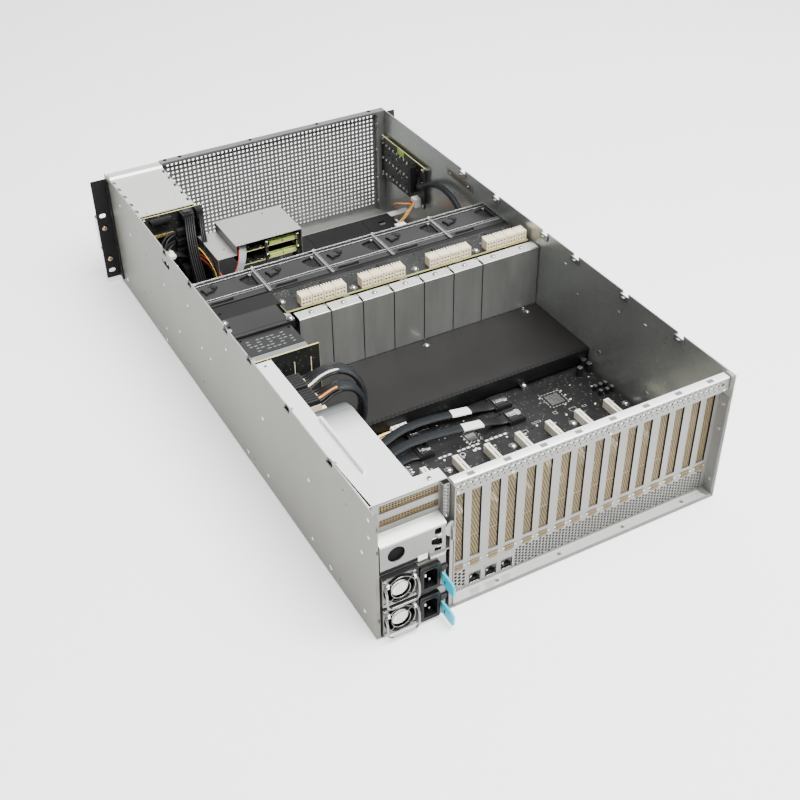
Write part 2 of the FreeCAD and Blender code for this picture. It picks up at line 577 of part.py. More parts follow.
# slot covers: a blade behind each window with its tab turned over the shelf
covers = []
for k in range(8):
    for m, d in enumerate(("slot_first", "slot_first-slot_pair")):
        xc = d + "-%d*slot_pitch" % k
        w = "cover_wide/2"
        covers.append(fuse("cover%d%d" % (k, m), [
            box("cover%d%d_blade" % (k, m), xc + "-" + w, xc + "+" + w, "panel_rear-metal-0.2-cover_thick", "panel_rear-metal-0.2",
                "36", "panel_top+0.2"),
            box("cover%d%d_tab" % (k, m), xc + "-" + w, xc + "+" + w, "panel_rear-metal-0.2-cover_thick", "panel_rear+7",
                "panel_top+0.2", "panel_top+0.2+cover_thick")]))
keep("slot_covers", group("slot_covers_group", covers))

# retention bar clamped over the tabs
keep("retention_bracket", fuse("retention_bar", [
    box("retention_face", "-217.6", "panel_left", "panel_rear+8.2", "panel_rear+9.4", "panel_top-1", "167"),
    box("retention_top", "-217.6", "panel_left", "panel_rear-1", "panel_rear+8.2", "165.8", "167")]))

# three network jacks standing on the main board
jacks = []
for k, x in enumerate((94.3, 74.2, 54.3)):
    blk = box("jack%d_block" % k, x - 7.2, x + 7.2, "366", "panel_rear-0.4", "6.2", "21.2")
    hole = box("jack%d_mouth" % k, x - 6.0, x + 6.0, "369", "panel_rear+1", "6.8", "17.8")
    jacks.append(cut("jack%d" % k, blk, [hole]))
keep("network_ports", group("network_ports_group", jacks))

# supply bay: divider wall, a shelf between the supplies and one above them
keep("psu_cage", group("psu_cage_group", [
    fuse("bay_divider", [box("bay_divider_low", "column_left", "column_in", "supply_front", "398", "metal", "86.2"),
                         box("bay_divider_high", "column_left", "column_in", "366", "398", "86.2", "cover_top-metal")]),
    box("bay_shelf_low", "column_in", "218.8", "supply_front", "396", "42.4", "43.6"),
    box("bay_shelf_high", "column_in", "218.8", "supply_front", "396.8", "85", "86.2")]))

# upper part of the supply column: blank plate, ledge, and a panel with two flat windows
blank = cut("blank_plate", box("blank_sheet", "139.6", "213.6", "397.2", "398.4", "88", "blank_high"),
            [cyl("blank_hole", "y", "195.4", "395", "108.7", "9.8", "5"),
             box("blank_cut_a", "144", "151.6", "395", "401", "112", "120.4"),
             box("blank_cut_b", "145", "155.4", "395", "401", "98.6", "110"),
             box("blank_cut_c", "144.4", "152", "395", "401", "91", "96.4"),
             box("blank_cut_d", "158", "215", "395", "401", "85", "92.5")])
upper = cut("upper_plate", box("upper_sheet", "column_in", "213.6", "panel_rear-metal", "panel_rear", "ledge_top", "cover_top-metal-0.2"),
            [box("upper_window_a", "140", "206", "380", "386", "136", "145.2"),
             box("upper_window_b", "140", "206", "380", "386", "153", "163.4")])
ledge = box("ledge_sheet", "139.2", "213.6", "panel_rear-metal", "398.4", "ledge_top-metal", "ledge_top")
lowcov = [box("low_cover_a", "138", "212", "panel_rear-metal-1.1", "panel_rear-metal-0.2", "134", "147.6"),
          box("low_cover_b", "138", "212", "panel_rear-metal-1.1", "panel_rear-metal-0.2", "150.8", "165")]
keep("rear_column_panels", group("rear_column_panels_group", [blank, fuse("upper_angle", [upper, ledge])] + lowcov))

# cover over the supplies: an L in plan with a raised lip
b = body("supply_cover_body")
s = sketch(b, "supply_cover_outline", "XY_Plane", "cover_top-metal")
outline(s, [(217.6, 117.0), (217.6, 382.6), (129.8, 382.6), (129.8, 366.0), (158.6, 366.0), (158.6, 228.0), (197.6, 228.0), (197.6, 117.0)])
pad(b, s, "metal", "supply_cover_pad")
doc.recompute()
s = sketch(b, "supply_cover_lip", "XY_Plane", "cover_top-metal/2")
rect(s, "l", "196.4", "197.6", "240", "335")
pad(b, s, "metal/2+3.6", "supply_cover_lip_pad")
doc.recompute()
s = sketch(b, "supply_cover_front", "XY_Plane", "cover_top-18")
rect(s, "f", "158.6", "197.6", "228", "228+metal")
pad(b, s, "18-metal", "supply_cover_front_pad")
doc.recompute()
s = sketch(b, "supply_cover_side", "XY_Plane", "cover_top-18")
rect(s, "g", "158.6", "158.6+metal", "228", "366")
pad(b, s, "18-metal", "supply_cover_side_pad")
keep("psu_cover", b)

# power supplies
for n, low in ((1, "supply_one_low"), (2, "supply_two_low")):
    t = "ps%d_" % n
    mid = low + "+supply_high/2"
    blk = box(t + "case", "supply_left", "supply_right", "supply_front", "supply_rear", low, low + "+supply_high")
    inlet = box(t + "inlet", "inlet_left", "inlet_right", "supply_rear-1", "supply_rear+4", mid + "-17.8", mid + "+17.8")
    core = fuse(t + "core", [blk, inlet])
    tools = [cyl(t + "fan_bore", "y", "supply_fan_x", "supply_rear-16", mid, "supply_fan_rad", "18"),
             box(t + "inlet_mouth", "inlet_left+3.4", "inlet_right-3.4", "supply_rear-13", "supply_rear+6", mid + "-12", mid + "+12"),
             box(t + "latch_slot", "supply_left-1", "148.4", "366", "supply_rear+1", mid + "-12", mid + "+1")]
    shell = cut(t + "shell", core, tools)
    guard = []
    for j, rr in enumerate((16.6, 10.8)):
        tor = doc.addObject("Part::Torus", t + "guard%d" % j)
        tor.setExpression("Radius1", ex(rr))
        tor.setExpression("Radius2", ex("0.75"))
        tor.Placement = FreeCAD.Placement(FreeCAD.Vector(0, 0, 0), ROT["y"])
        place(tor, "supply_fan_x", "supply_rear+2.4", mid)
        guard.append(tor)
    for j in range(4):
        c = doc.addObject("Part::Cylinder", t + "spoke%d" % j)
        c.setExpression("Radius", ex("0.7"))
        c.setExpression("Height", ex("13.5"))
        rot = FreeCAD.Rotation(FreeCAD.Vector(0, 1, 0), 45 + 90 * j)
        d = rot.multVec(FreeCAD.Vector(0, 0, 10.5))
        c.Placement = FreeCAD.Placement(FreeCAD.Vector(0, 0, 0), rot)
        place(c, "supply_fan_x%+.4f" % d.x, "supply_rear+2.4", mid + "%+.4f" % d.z)
        guard.append(c)
        f = d.multiply(1.0 / 10.5)
        guard.append(cyl(t + "foot%d" % j, "y", "supply_fan_x%+.4f" % (f.x * 23.0), "supply_rear-1", mid + "%+.4f" % (f.z * 23.0), "1.6", "4.2"))
    for j, (a, c) in enumerate((("bail_left+1.9", "bail_left+4.2"), ("bail_right-4.2", "bail_right-1.9"))):
        lug = box(t + "lug%d_block" % j, a, c, "supply_rear-1", "supply_rear+5.6", mid + "+bail_rise-2.8", mid + "+bail_rise+2.8")
        guard.append(cut(t + "lug%d" % j, lug, [cyl(t + "lug%d_hole" % j, "x", a + "-1", "supply_rear+3", mid + "+bail_rise", "bail_rad+0.35", "5")]))
    keep("psu_%d_body" % n, fuse(t + "body", [shell] + guard))
    blades = [cyl(t + "hub", "y", "supply_fan_x", "supply_rear-12", mid, "9", "11.4")]
    for j in range(5):
        bl = doc.addObject("Part::Box", t + "blade%d" % j)
        bl.setExpression("Length", ex("8.7"))
        bl.setExpression("Width", ex("9"))
        bl.setExpression("Height", ex("1.1"))
        r1 = FreeCAD.Rotation(FreeCAD.Vector(0, 1, 0), 72.0 * j).multiply(FreeCAD.Rotation(FreeCAD.Vector(1, 0, 0), 40))
        start = FreeCAD.Rotation(FreeCAD.Vector(0, 1, 0), 72.0 * j).multVec(FreeCAD.Vector(8.0, 0, 0))
        m = r1.multVec(FreeCAD.Vector(0, 4.5, 0.55))
        bl.Placement = FreeCAD.Placement(FreeCAD.Vector(0, 0, 0), r1)
        place(bl, "supply_fan_x%+.4f" % (start.x - m.x), "supply_rear-6.5%+.4f" % (-m.y), mid + "%+.4f" % (start.z - m.z))
        blades.append(bl)
    keep("psu_%d_rotor" % n, fuse(t + "rotor", blades))
    # bail: a wire U hanging in front of the fan from two pins turned in at its top ends
    px0, px1, py, zc = NUM["bail_left"], NUM["bail_right"], NUM["supply_rear"] + 3.0, num(mid) + NUM["bail_rise"]
    far, zl = py + NUM["bail_out"], num(mid) - 16.2
    V = FreeCAD.Vector
    keep("psu_%d_handle" % n, pipe(t + "bail", [V(px1 - 3.3, py, zc), V(px1, py, zc), V(px1, far - 0.4, zc - 7.5), V(px1, far, zl), V(px0, far, zl),
                                                V(px0, far - 0.4, zc - 7.5), V(px0, py, zc), V(px0 + 3.3, py, zc)],
                                   [1.5, 5.0, 7.0, 7.0, 5.0, 1.5], NUM["bail_rad"]))
    # latch: an arm inside the side slot and the coloured thumb tab outside
    keep("psu_%d_latch" % n, fuse(t + "latch", [
        box(t + "latch_arm", "144.4", "145.8", "369.5", "supply_rear+4", mid + "-9.5", mid + "-2.5"),
        cyl(t + "latch_pivot", "z", "145.1", "369.5", mid + "-10", "1.3", "8"),
        box(t + "latch_tab", "144", "146.6", "supply_rear+1.6", "supply_rear+26", mid + "-20", mid + "-1.5")]))

# round-head screws: one group
heads = []


def head(tag, x, y, z, axis="z", rad=3.2, high=2.2, sink=0.0):
    heads.append(cyl("screw_" + tag, axis, x, y, z, rad, high))


for k, (x, y) in enumerate(((126.6, -12.0), (36.5, 2.0), (-51.0, 2.0), (-141.0, 2.0))):
    head("pb%d" % k, x, y, "power_top")
for k in range(8):
    head("pl%d" % k, "plate_first-%d*plate_pitch-plate_pitch/2+1.5" % k, 25.0, 146.0, rad=2.9)
for k, (x, y) in enumerate(((42.3, 243.6), (-45.5, 243.6), (-131.6, 243.6), (-210.0, 243.6), (-117.2, 157.5), (57.0, 130.0), (-30.0, 130.0), (-205.0, 130.0))):
    head("cb%d" % k, x, y, "card_board_top")
for k, (x, y) in enumerate(((207.0, 2.0), (135.4, 31.6))):
    head("br%d" % k, x, y, 150.0)
for k, (sx, z) in enumerate(((1, 40.0), (1, 90.0), (-1, 40.0), (-1, 90.0))):
    heads.append(cyl("screw_ear%d" % k, "y", sx * NUM["ear_slot_x"], -398.0, z, 2.8, 1.6))
for k, (y, z) in enumerate(((131.0, 100.0), (75.0, 14.0), (253.0, 104.0))):
    heads.append(cyl("screw_side%d" % k, "x", 220.0, y, z, 2.6, 1.2))
keep("chassis_screws", group("chassis_screws_group", heads))

# ---- cables: straight runs joined by tangent arcs --------------------------


def tube(node, pts, rad):
    """A cable: each bend is as large as 0.45 of its shorter run allows."""
    P = [FreeCAD.Vector(*p) for p in pts]
    radii = []
    for i in range(1, len(P) - 1):
        u, w = P[i - 1] - P[i], P[i + 1] - P[i]
        short = min(u.Length, w.Length)
        u.normalize()
        w.normalize()
        turn = math.pi - math.acos(max(-1.0, min(1.0, u.dot(w))))
        radii.append(0.45 * short / math.tan(turn / 2))
    o = keep(node, pipe(node + "_tube", P, radii, rad))
    print(node, "length %.1f" % o.RouteLength, "radii", [round(r, 1) for r in radii],
          "volume ratio %.4f" % (o.Shape.Volume / (math.pi * rad * rad * o.RouteLength)))


tube("power_harness_1", [(180.5, 165, 158), (175.5, 165, 158), (166, 165.5, 163), (148, 167, 169), (131, 172, 165), (121, 179, 152),
                         (119, 185, 136), (122, 189, 119), (129, 190, 102), (136, 188, 84), (137.5, 187, 71), (137.5, 187, 64)], NUM["harness_rad"])
tube("power_harness_2", [(180.5, 195, 158), (175.5, 195, 158), (168, 195.6, 161.5), (153, 197, 166.5), (139, 198, 162), (130, 200, 149),
                         (127.5, 202, 133), (131, 203, 115), (139, 202.5, 97), (150, 200.5, 82), (156, 199, 71), (156, 199, 64)], NUM["harness_rad"])
tube("data_cable_1", [(-61, 170, 38.5), (-55, 170, 38.5), (-46, 171, 41), (-32, 172.5, 44.5), (-16, 172, 46.5), (12, 167.5, 47),
                      (40, 166.4, 48), (64, 168, 48), (88, 174.5, 45), (110, 179, 42), (132, 181, 41.5)], NUM["data_rad"])
tube("data_cable_2", [(-61, 200.5, 38.5), (-55, 200.5, 38.5), (-46, 201.5, 41), (-34, 202, 44.5), (-17, 201.3, 46.5), (10, 197.3, 47),
                      (36, 194.8, 48), (61, 193.2, 47.5), (86, 194.2, 44.5), (104, 199, 41.5), (124, 203, 40)], NUM["data_rad"])
tube("wall_board_cable", [(-207, -262, 104), (-207, -256, 104), (-206.5, -244, 112), (-207.5, -228, 122), (-209, -206, 128), (-208, -183, 130),
                          (-207, -160, 126), (-206, -141, 117), (-205.5, -126, 104), (-205, -116, 89), (-205, -111, 72)], NUM["lead_rad"])

doc.recompute()

# ---- checks and export ------------------------------------------------------
bad = []
for o in doc.Objects:
    if any(w in st for st in o.State for w in ("Invalid", "Error")):
        bad.append((o.Name, list(o.State)))
for node, o in SUBPARTS:
    shp = o.Shape
    if shp.isNull() or not shp.isValid() or shp.Volume <= 0 or not shp.Solids:
        bad.append((node, "shape"))
if bad:
    raise RuntimeError("failed objects: %s" % bad[:12])
if len(SUBPARTS) > 60:
    raise RuntimeError("too many sub-parts: %d" % len(SUBPARTS))
os.makedirs("parts", exist_ok=True)
for node, o in SUBPARTS:
    o.Shape.exportStep(os.path.join("parts", node + ".step"))
print("sub-parts", len(SUBPARTS))
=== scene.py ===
import math
import random

import bpy
import bmesh
from mathutils import Matrix, Vector


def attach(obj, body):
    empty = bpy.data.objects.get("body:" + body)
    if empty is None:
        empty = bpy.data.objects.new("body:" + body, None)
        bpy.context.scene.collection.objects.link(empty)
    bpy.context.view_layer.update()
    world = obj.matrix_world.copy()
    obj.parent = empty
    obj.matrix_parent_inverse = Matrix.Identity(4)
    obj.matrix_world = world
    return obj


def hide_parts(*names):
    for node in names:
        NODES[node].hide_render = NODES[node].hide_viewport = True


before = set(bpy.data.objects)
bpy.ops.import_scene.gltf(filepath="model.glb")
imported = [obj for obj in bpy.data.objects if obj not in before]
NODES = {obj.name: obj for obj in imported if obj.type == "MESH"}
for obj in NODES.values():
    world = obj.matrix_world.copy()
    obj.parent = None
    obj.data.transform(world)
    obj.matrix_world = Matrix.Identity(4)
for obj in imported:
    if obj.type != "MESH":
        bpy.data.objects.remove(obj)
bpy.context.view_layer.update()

MM = 0.001
random.seed(4)

# ---------------------------------------------------------------- camera, light, floor
cam_data = bpy.data.cameras.new("photo_view")
cam_data.sensor_width = 36.0
cam_data.lens = 1194.467 * 36.0 / 800.0
cam_data.clip_end = 50.0
cam = bpy.data.objects.new("photo_view", cam_data)
bpy.context.scene.collection.objects.link(cam)
right = Vector((-0.874256259590525, 0.485354448222277, -0.010346601260006305))
down = Vector((0.30294150832293665, 0.5287788214546048, -0.7928552204003599))
ahead = Vector((-0.3793447443972417, -0.6962930543757623, -0.6093222032112919))
m = Matrix.Identity(4)
for r in range(3):
    m[r][0], m[r][1], m[r][2] = right[r], -down[r], -ahead[r]
m[0][3], m[1][3], m[2][3] = 0.5860843, 1.1270288, 0.9322446
cam.matrix_world = m
bpy.context.scene.camera = cam

world = bpy.data.worlds.new("studio")
bpy.context.scene.world = world
world.use_nodes = True
world.node_tree.nodes["Background"].inputs["Color"].default_value = (1.0, 1.0, 1.0, 1.0)
world.node_tree.nodes["Background"].inputs["Strength"].default_value = 0.45


def area(name, loc, aim, size, power, size_y=None, color=(1, 1, 1)):
    d = bpy.data.lights.new(name, "AREA")
    d.shape = "RECTANGLE"
    d.size, d.size_y = size, size_y or size
    d.energy = power
    d.color = color
    o = bpy.data.objects.new(name, d)
    o.location = loc
    o.rotation_euler = (Vector(aim) - Vector(loc)).to_track_quat("-Z", "Y").to_euler()
    bpy.context.scene.collection.objects.link(o)
    return o


area("key", (-0.55, 1.0, 2.7), (0, 0.1, 0), 2.4, 290, 2.4)
area("fill_rear", (0.1, 2.6, 1.3), (0, 0.3, 0.05), 2.0, 8, 1.2)
area("back_soft", (-0.97, -1.60, 1.48), (0, 0.1, 0.1), 2.4, 15, 1.6)

# ---------------------------------------------------------------- material kit


class Mat:
    """A small wrapper that makes node materials short to write."""

    def __init__(self, name):
        self.m = bpy.data.materials.new(name)
        self.m.use_nodes = True
        self.t = self.m.node_tree
        self.p = self.t.nodes["Principled BSDF"]
        self.coord = self.node("ShaderNodeTexCoord").outputs["Object"]

    def node(self, kind, **kw):
        n = self.t.nodes.new(kind)
        for k, v in kw.items():
            setattr(n, k, v)
        return n

    def link(self, a, b):
        self.t.links.new(a, b)

    def scaled(self, sx, sy, sz):
        n = self.node("ShaderNodeMapping")
        n.inputs["Scale"].default_value = (sx, sy, sz)
        self.link(self.coord, n.inputs["Vector"])
        return n.outputs["Vector"]

    def noise(self, scale, detail=3.0, rough=0.55, vec=None, distort=0.0):
        n = self.node("ShaderNodeTexNoise")
        n.inputs["Scale"].default_value = scale
        n.inputs["Detail"].default_value = detail
        n.inputs["Roughness"].default_value = rough
        n.inputs["Distortion"].default_value = distort
        self.link(vec if vec is not None else self.coord, n.inputs["Vector"])
        return n.outputs["Fac"]

    def voronoi(self, scale, vec=None, feature="F1", out="Distance", rand=1.0):
        n = self.node("ShaderNodeTexVoronoi", feature=feature)
        n.inputs["Scale"].default_value = scale
        if "Randomness" in n.inputs:
            n.inputs["Randomness"].default_value = rand
        self.link(vec if vec is not None else self.coord, n.inputs["Vector"])
        return n.outputs[out]

    def ramp(self, fac, stops):
        n = self.node("ShaderNodeValToRGB")
        e = n.color_ramp.elements
        while len(e) < len(stops):
            e.new(0.5)
        for i, (pos, col) in enumerate(stops):
            e[i].position = pos
            e[i].color = (*col, 1.0) if isinstance(col, (tuple, list)) else (col, col, col, 1.0)
        self.link(fac, n.inputs["Fac"])
        return n.outputs["Color"]

    def math(self, op, a, b=None, c=None):
        n = self.node("ShaderNodeMath", operation=op)
        for i, v in enumerate((a, b, c)):
            if v is None:
                continue
            if isinstance(v, (int, float)):
                n.inputs[i].default_value = v
            else:
                self.link(v, n.inputs[i])
        return n.outputs[0]

    def mix(self, fac, a, b):
        n = self.node("ShaderNodeMix", data_type="RGBA")
        for sock, v in ((n.inputs[0], fac), (n.inputs[6], a), (n.inputs[7], b)):
            if isinstance(v, (int, float)):
                sock.default_value = v
            elif isinstance(v, (tuple, list)):
                sock.default_value = (*v, 1.0)
            else:
                self.link(v, sock)
        return n.outputs[2]

    def xyz(self, vec=None):
        n = self.node("ShaderNodeSeparateXYZ")
        self.link(vec if vec is not None else self.coord, n.inputs[0])
        return n.outputs

    def bump(self, height, strength=0.2, dist=0.0002):
        n = self.node("ShaderNodeBump")
        n.inputs["Strength"].default_value = strength
        n.inputs["Distance"].default_value = dist
        self.link(height, n.inputs["Height"])
        self.link(n.outputs["Normal"], self.p.inputs["Normal"])

    def set(self, **kw):
        names = {"color": "Base Color", "rough": "Roughness", "metal": "Metallic", "spec": "Specular IOR Level",
                 "coat": "Coat Weight", "coat_rough": "Coat Roughness", "sheen": "Sheen Weight"}
        for k, v in kw.items():
            sock = self.p.inputs[names[k]]
            if isinstance(v, (int, float)):
                sock.default_value = v
            elif isinstance(v, (tuple, list)):
                sock.default_value = (*v, 1.0)
            else:
                self.link(v, sock)
        return self


M = {}


def metal(name, lo, hi, rough=0.38, metallic=0.75, grain=(14, 14, 14), spread=0.1, streak=(4, 4, 4), bump=0.05):
    """Zinc-coated sheet: soft cloudy tone, faint grain in one direction, fine tooth."""
    q = Mat(name)
    cloud = q.noise(1.0, 4, 0.6, q.scaled(*streak))
    fine = q.noise(60.0, 3, 0.6, q.scaled(*grain))
    both = q.math("ADD", q.math("MULTIPLY", cloud, 0.62), q.math("MULTIPLY", fine, 0.38))
    q.set(color=q.ramp(both, [(0.32, lo), (0.68, hi)]), metal=metallic)
    r = q.math("MULTIPLY_ADD", fine, spread * 2, rough - spread)
    q.set(rough=r)
    q.bump(fine, bump, 0.00008)
    M[name] = q.m
    return q


# darker copy of the zinc steel that paints the shade on the outer side wall
metal("galv_wall_shaded", (0.145, 0.144, 0.124), (0.185, 0.184, 0.16), 0.44, 0.62, (2, 2, 2), 0.07, (2.2, 9, 1.2))
metal("galv_inner", (0.38, 0.40, 0.39), (0.50, 0.52, 0.505), 0.30, 0.72, (2, 2, 6), 0.06, (6, 5, 3))
# lighter copy of the zinc steel that paints the light on top faces
metal("galv_top_lit", (0.66, 0.66, 0.64), (0.76, 0.76, 0.74), 0.42, 0.55, (1.5, 9, 1.5), 0.08, (7, 2, 2))
metal("galv_rear", (0.225, 0.225, 0.211), (0.275, 0.275, 0.258), 0.42, 0.62, (2, 2, 2), 0.07, (6, 6, 9))
metal("galv_plate", (0.30, 0.305, 0.29), (0.40, 0.405, 0.39), 0.34, 0.78, (1.5, 1.5, 0.3), 0.08, (30, 8, 6))
metal("galv_mesh", (0.20, 0.205, 0.20), (0.29, 0.295, 0.285), 0.42, 0.70, (2, 2, 2), 0.07, (5, 5, 5))
metal("galv_dark", (0.22, 0.23, 0.23), (0.33, 0.34, 0.34), 0.40, 0.80, (2, 2, 2), 0.07, (5, 5, 5))
metal("roll", (0.60, 0.60, 0.58), (0.72, 0.72, 0.70), 0.20, 0.85, (9, 1.5, 1.5), 0.05, (3, 9, 3))
metal("sill", (0.62, 0.62, 0.60), (0.72, 0.72, 0.70), 0.34, 0.70, (9, 1.5, 1.5), 0.08, (3, 9, 3))
metal("galv_hood", (0.40, 0.40, 0.39), (0.49, 0.49, 0.475), 0.40, 0.60, (1.5, 9, 1.5), 0.08, (7, 2, 2))
# near-white copy of the zinc steel that paints the light on the cover and strip tops and inside the strip's oval
# openings
metal("cover_white_lit", (0.91, 0.91, 0.90), (0.96, 0.96, 0.95), 0.36, 0.35, (1.5, 9, 1.5), 0.08, (7, 2, 2))
metal("wire_steel", (0.175, 0.171, 0.161), (0.28, 0.276, 0.262), 0.20, 1.0, (8, 8, 8), 0.05, (30, 30, 30), 0.02)
metal("psu_face", (0.15, 0.147, 0.135), (0.20, 0.197, 0.182), 0.36, 0.7, (2, 2, 2), 0.07, (6, 6, 9))
metal("ledge_metal", (0.40, 0.40, 0.39), (0.50, 0.50, 0.49), 0.36, 0.60, (9, 1.5, 1.5), 0.08, (3, 9, 3))
# near-white copy of the zinc steel that paints the light on the rear floor lip
metal("lip_white_lit", (0.80, 0.80, 0.78), (0.90, 0.90, 0.885), 0.22, 0.55, (9, 1.5, 1.5), 0.05, (3, 9, 3))
metal("blank_grey", (0.185, 0.188, 0.178), (0.23, 0.235, 0.222), 0.40, 0.66, (2, 2, 2), 0.07, (6, 6, 9))
# cover's rolled front end: painted reflection and shade, dark at the front turning white towards the rear along y
q = Mat("cover_painted_reflection")
cx_, cy_, cz_ = q.xyz()
reflection_ramp = q.math("MULTIPLY_ADD", cy_, 12.5, -2.56)
fine = q.noise(9.0, 3, 0.6)
q.set(color=q.ramp(q.math("ADD", reflection_ramp, q.math("MULTIPLY_ADD", fine, 0.10, -0.05)), [(0.12, (0.055, 0.062, 0.064)), (0.40, (0.16, 0.172, 0.175)), (0.62, (0.55, 0.56, 0.56)), (0.86, (0.93, 0.93, 0.92))]), metal=0.4, spec=0.4)
q.set(rough=q.math("MULTIPLY_ADD", q.noise(1.5, 2, 0.5), 0.14, 0.28))
q.bump(fine, 0.05, 0.0002)
M["cover_painted_reflection"] = q.m
metal("tan_metal", (0.135, 0.098, 0.045), (0.20, 0.15, 0.075), 0.46, 0.35, (3, 3, 3), 0.08, (20, 20, 20))
metal("brass_tone", (0.50, 0.40, 0.22), (0.66, 0.54, 0.32), 0.28, 0.95, (8, 8, 8), 0.05, (40, 40, 40))
metal("bright", (0.56, 0.56, 0.56), (0.68, 0.68, 0.68), 0.16, 1.0, (8, 8, 8), 0.05, (30, 30, 30), 0.02)
metal("nickel", (0.56, 0.56, 0.54), (0.68, 0.68, 0.66), 0.26, 0.95, (6, 6, 6), 0.06, (30, 30, 30), 0.03)


def coat(name, lo, hi, rough=0.42, scale=900.0, bump=0.25, spec=0.5):
    """Powder coat or moulded plastic with a fine orange-peel tooth and a slow tone change."""
    q = Mat(name)
    tooth = q.noise(scale, 2, 0.5)
    slow = q.noise(9.0, 3, 0.6)
    both = q.math("ADD", q.math("MULTIPLY", slow, 0.7), q.math("MULTIPLY", tooth, 0.3))
    q.set(color=q.ramp(both, [(0.35, lo), (0.65, hi)]), metal=0.0, spec=spec)
    q.set(rough=q.math("MULTIPLY_ADD", tooth, 0.16, rough - 0.08))
    q.bump(tooth, bump, 0.00012)
    M[name] = q.m
    return q


coat("black_coat", (0.008, 0.008, 0.0085), (0.014, 0.014, 0.015), 0.48, 900, 0.25, 0.15)
coat("black_film", (0.0065, 0.0065, 0.007), (0.011, 0.011, 0.0115), 0.38, 500, 0.10, 0.18)
coat("black_abs", (0.007, 0.007, 0.0075), (0.013, 0.013, 0.0135), 0.42, 1600, 0.25, 0.25)
coat("grey_abs", (0.013, 0.013, 0.0135), (0.022, 0.022, 0.0225), 0.34, 1600, 0.25, 0.3)
coat("tray_black", (0.0075, 0.007, 0.0063), (0.0115, 0.0107, 0.0097), 0.42, 1300, 0.2, 0.35)
coat("ear_black", (0.004, 0.004, 0.0042), (0.008, 0.008, 0.0085), 0.55, 500, 0.1, 0.25)
coat("inlet_black", (0.004, 0.004, 0.0042), (0.007, 0.007, 0.0073), 0.36, 700, 0.06, 0.14)
coat("pin_brown", (0.045, 0.03, 0.014), (0.08, 0.056, 0.028), 0.5, 700, 0.06, 0.3)
coat("socket", (0.82, 0.77, 0.64), (0.90, 0.86, 0.74), 0.40, 700, 0.08)
coat("mid_abs", (0.16, 0.165, 0.17), (0.22, 0.225, 0.23), 0.40, 1400)
coat("cream", (0.82, 0.70, 0.46), (0.90, 0.79, 0.56), 0.42, 700, 0.10)
coat("ivory", (0.86, 0.79, 0.60), (0.92, 0.86, 0.70), 0.40, 700, 0.08)
coat("white_abs", (0.76, 0.76, 0.73), (0.86, 0.86, 0.83), 0.40, 700, 0.08)
coat("teal", (0.006, 0.40, 0.54), (0.016, 0.48, 0.63), 0.40, 500, 0.06, 0.2)
coat("lime", (0.36, 0.62, 0.05), (0.46, 0.72, 0.09), 0.5, 300, 0.05)
coat("sock_green", (0.42, 0.55, 0.12), (0.52, 0.64, 0.18), 0.42, 500, 0.05)
coat("paper", (0.78, 0.78, 0.75), (0.86, 0.86, 0.83), 0.55, 1200, 0.05)
coat("wire_yellow", (0.72, 0.50, 0.05), (0.80, 0.60, 0.09), 0.38, 800, 0.05)
coat("wire_orange", (0.70, 0.26, 0.04), (0.80, 0.34, 0.07), 0.38, 800, 0.05)
coat("wire_red", (0.52, 0.03, 0.02), (0.62, 0.05, 0.03), 0.38, 800, 0.05)
coat("wire_black", (0.006, 0.006, 0.0065), (0.011, 0.011, 0.0115), 0.46, 800, 0.05, 0.3)
coat("wire_white", (0.72, 0.72, 0.70), (0.82, 0.82, 0.80), 0.38, 800, 0.05)
coat("ribbon_grey", (0.30, 0.31, 0.32), (0.38, 0.39, 0.40), 0.45, 300, 0.1)
# near-black matte that paints the shade inside holes, slots, gaps and recesses and behind openings
coat("painted_shade_black", (0.004, 0.004, 0.004), (0.007, 0.007, 0.007), 0.8, 300, 0.05, 0.1)


def board(name, lo, hi, trace, rough=0.38):
    """Solder mask over copper: thin straight tracks, dots where they change layer, a soft mottle."""
    q = Mat(name)
    slow = q.noise(14.0, 3, 0.6)
    base = q.ramp(slow, [(0.35, lo), (0.65, hi)])
    x, y, z = q.xyz()
    cell = q.voronoi(55.0, feature="F1", out="Color")
    sep = q.node("ShaderNodeSeparateColor")
    q.link(cell, sep.inputs[0])
    run = q.math("ADD", q.math("MULTIPLY", x, 620.0), q.math("MULTIPLY", z, 620.0))
    rise = q.math("MULTIPLY", y, 620.0)
    pick = q.math("GREATER_THAN", sep.outputs[0], 0.5)
    lanes = q.math("ADD", q.math("MULTIPLY", run, pick), q.math("MULTIPLY", rise, q.math("SUBTRACT", 1.0, pick)))
    lane = q.math("GREATER_THAN", q.math("FRACT", lanes), 0.62)
    on = q.math("GREATER_THAN", sep.outputs[1], 0.45)
    tr = q.math("MULTIPLY", lane, on)
    dots = q.math("LESS_THAN", q.voronoi(260.0), 0.12)
    q.set(color=q.mix(dots, q.mix(tr, base, trace), (0.30, 0.26, 0.16)), metal=0.0, spec=0.25)
    q.set(rough=q.math("MULTIPLY_ADD", tr, -0.06, rough))
    q.bump(tr, 0.15, 0.00005)
    M[name] = q.m
    return q


board("pcb_grey", (0.0095, 0.0095, 0.0102), (0.0145, 0.0145, 0.0152), (0.021, 0.021, 0.022))
board("pcb_black", (0.010, 0.011, 0.011), (0.017, 0.018, 0.018), (0.022, 0.023, 0.022))
board("pcb_green", (0.018, 0.075, 0.030), (0.028, 0.100, 0.042), (0.040, 0.125, 0.055))
board("pcb_edge", (0.60, 0.56, 0.20), (0.72, 0.68, 0.28), (0.66, 0.62, 0.24))

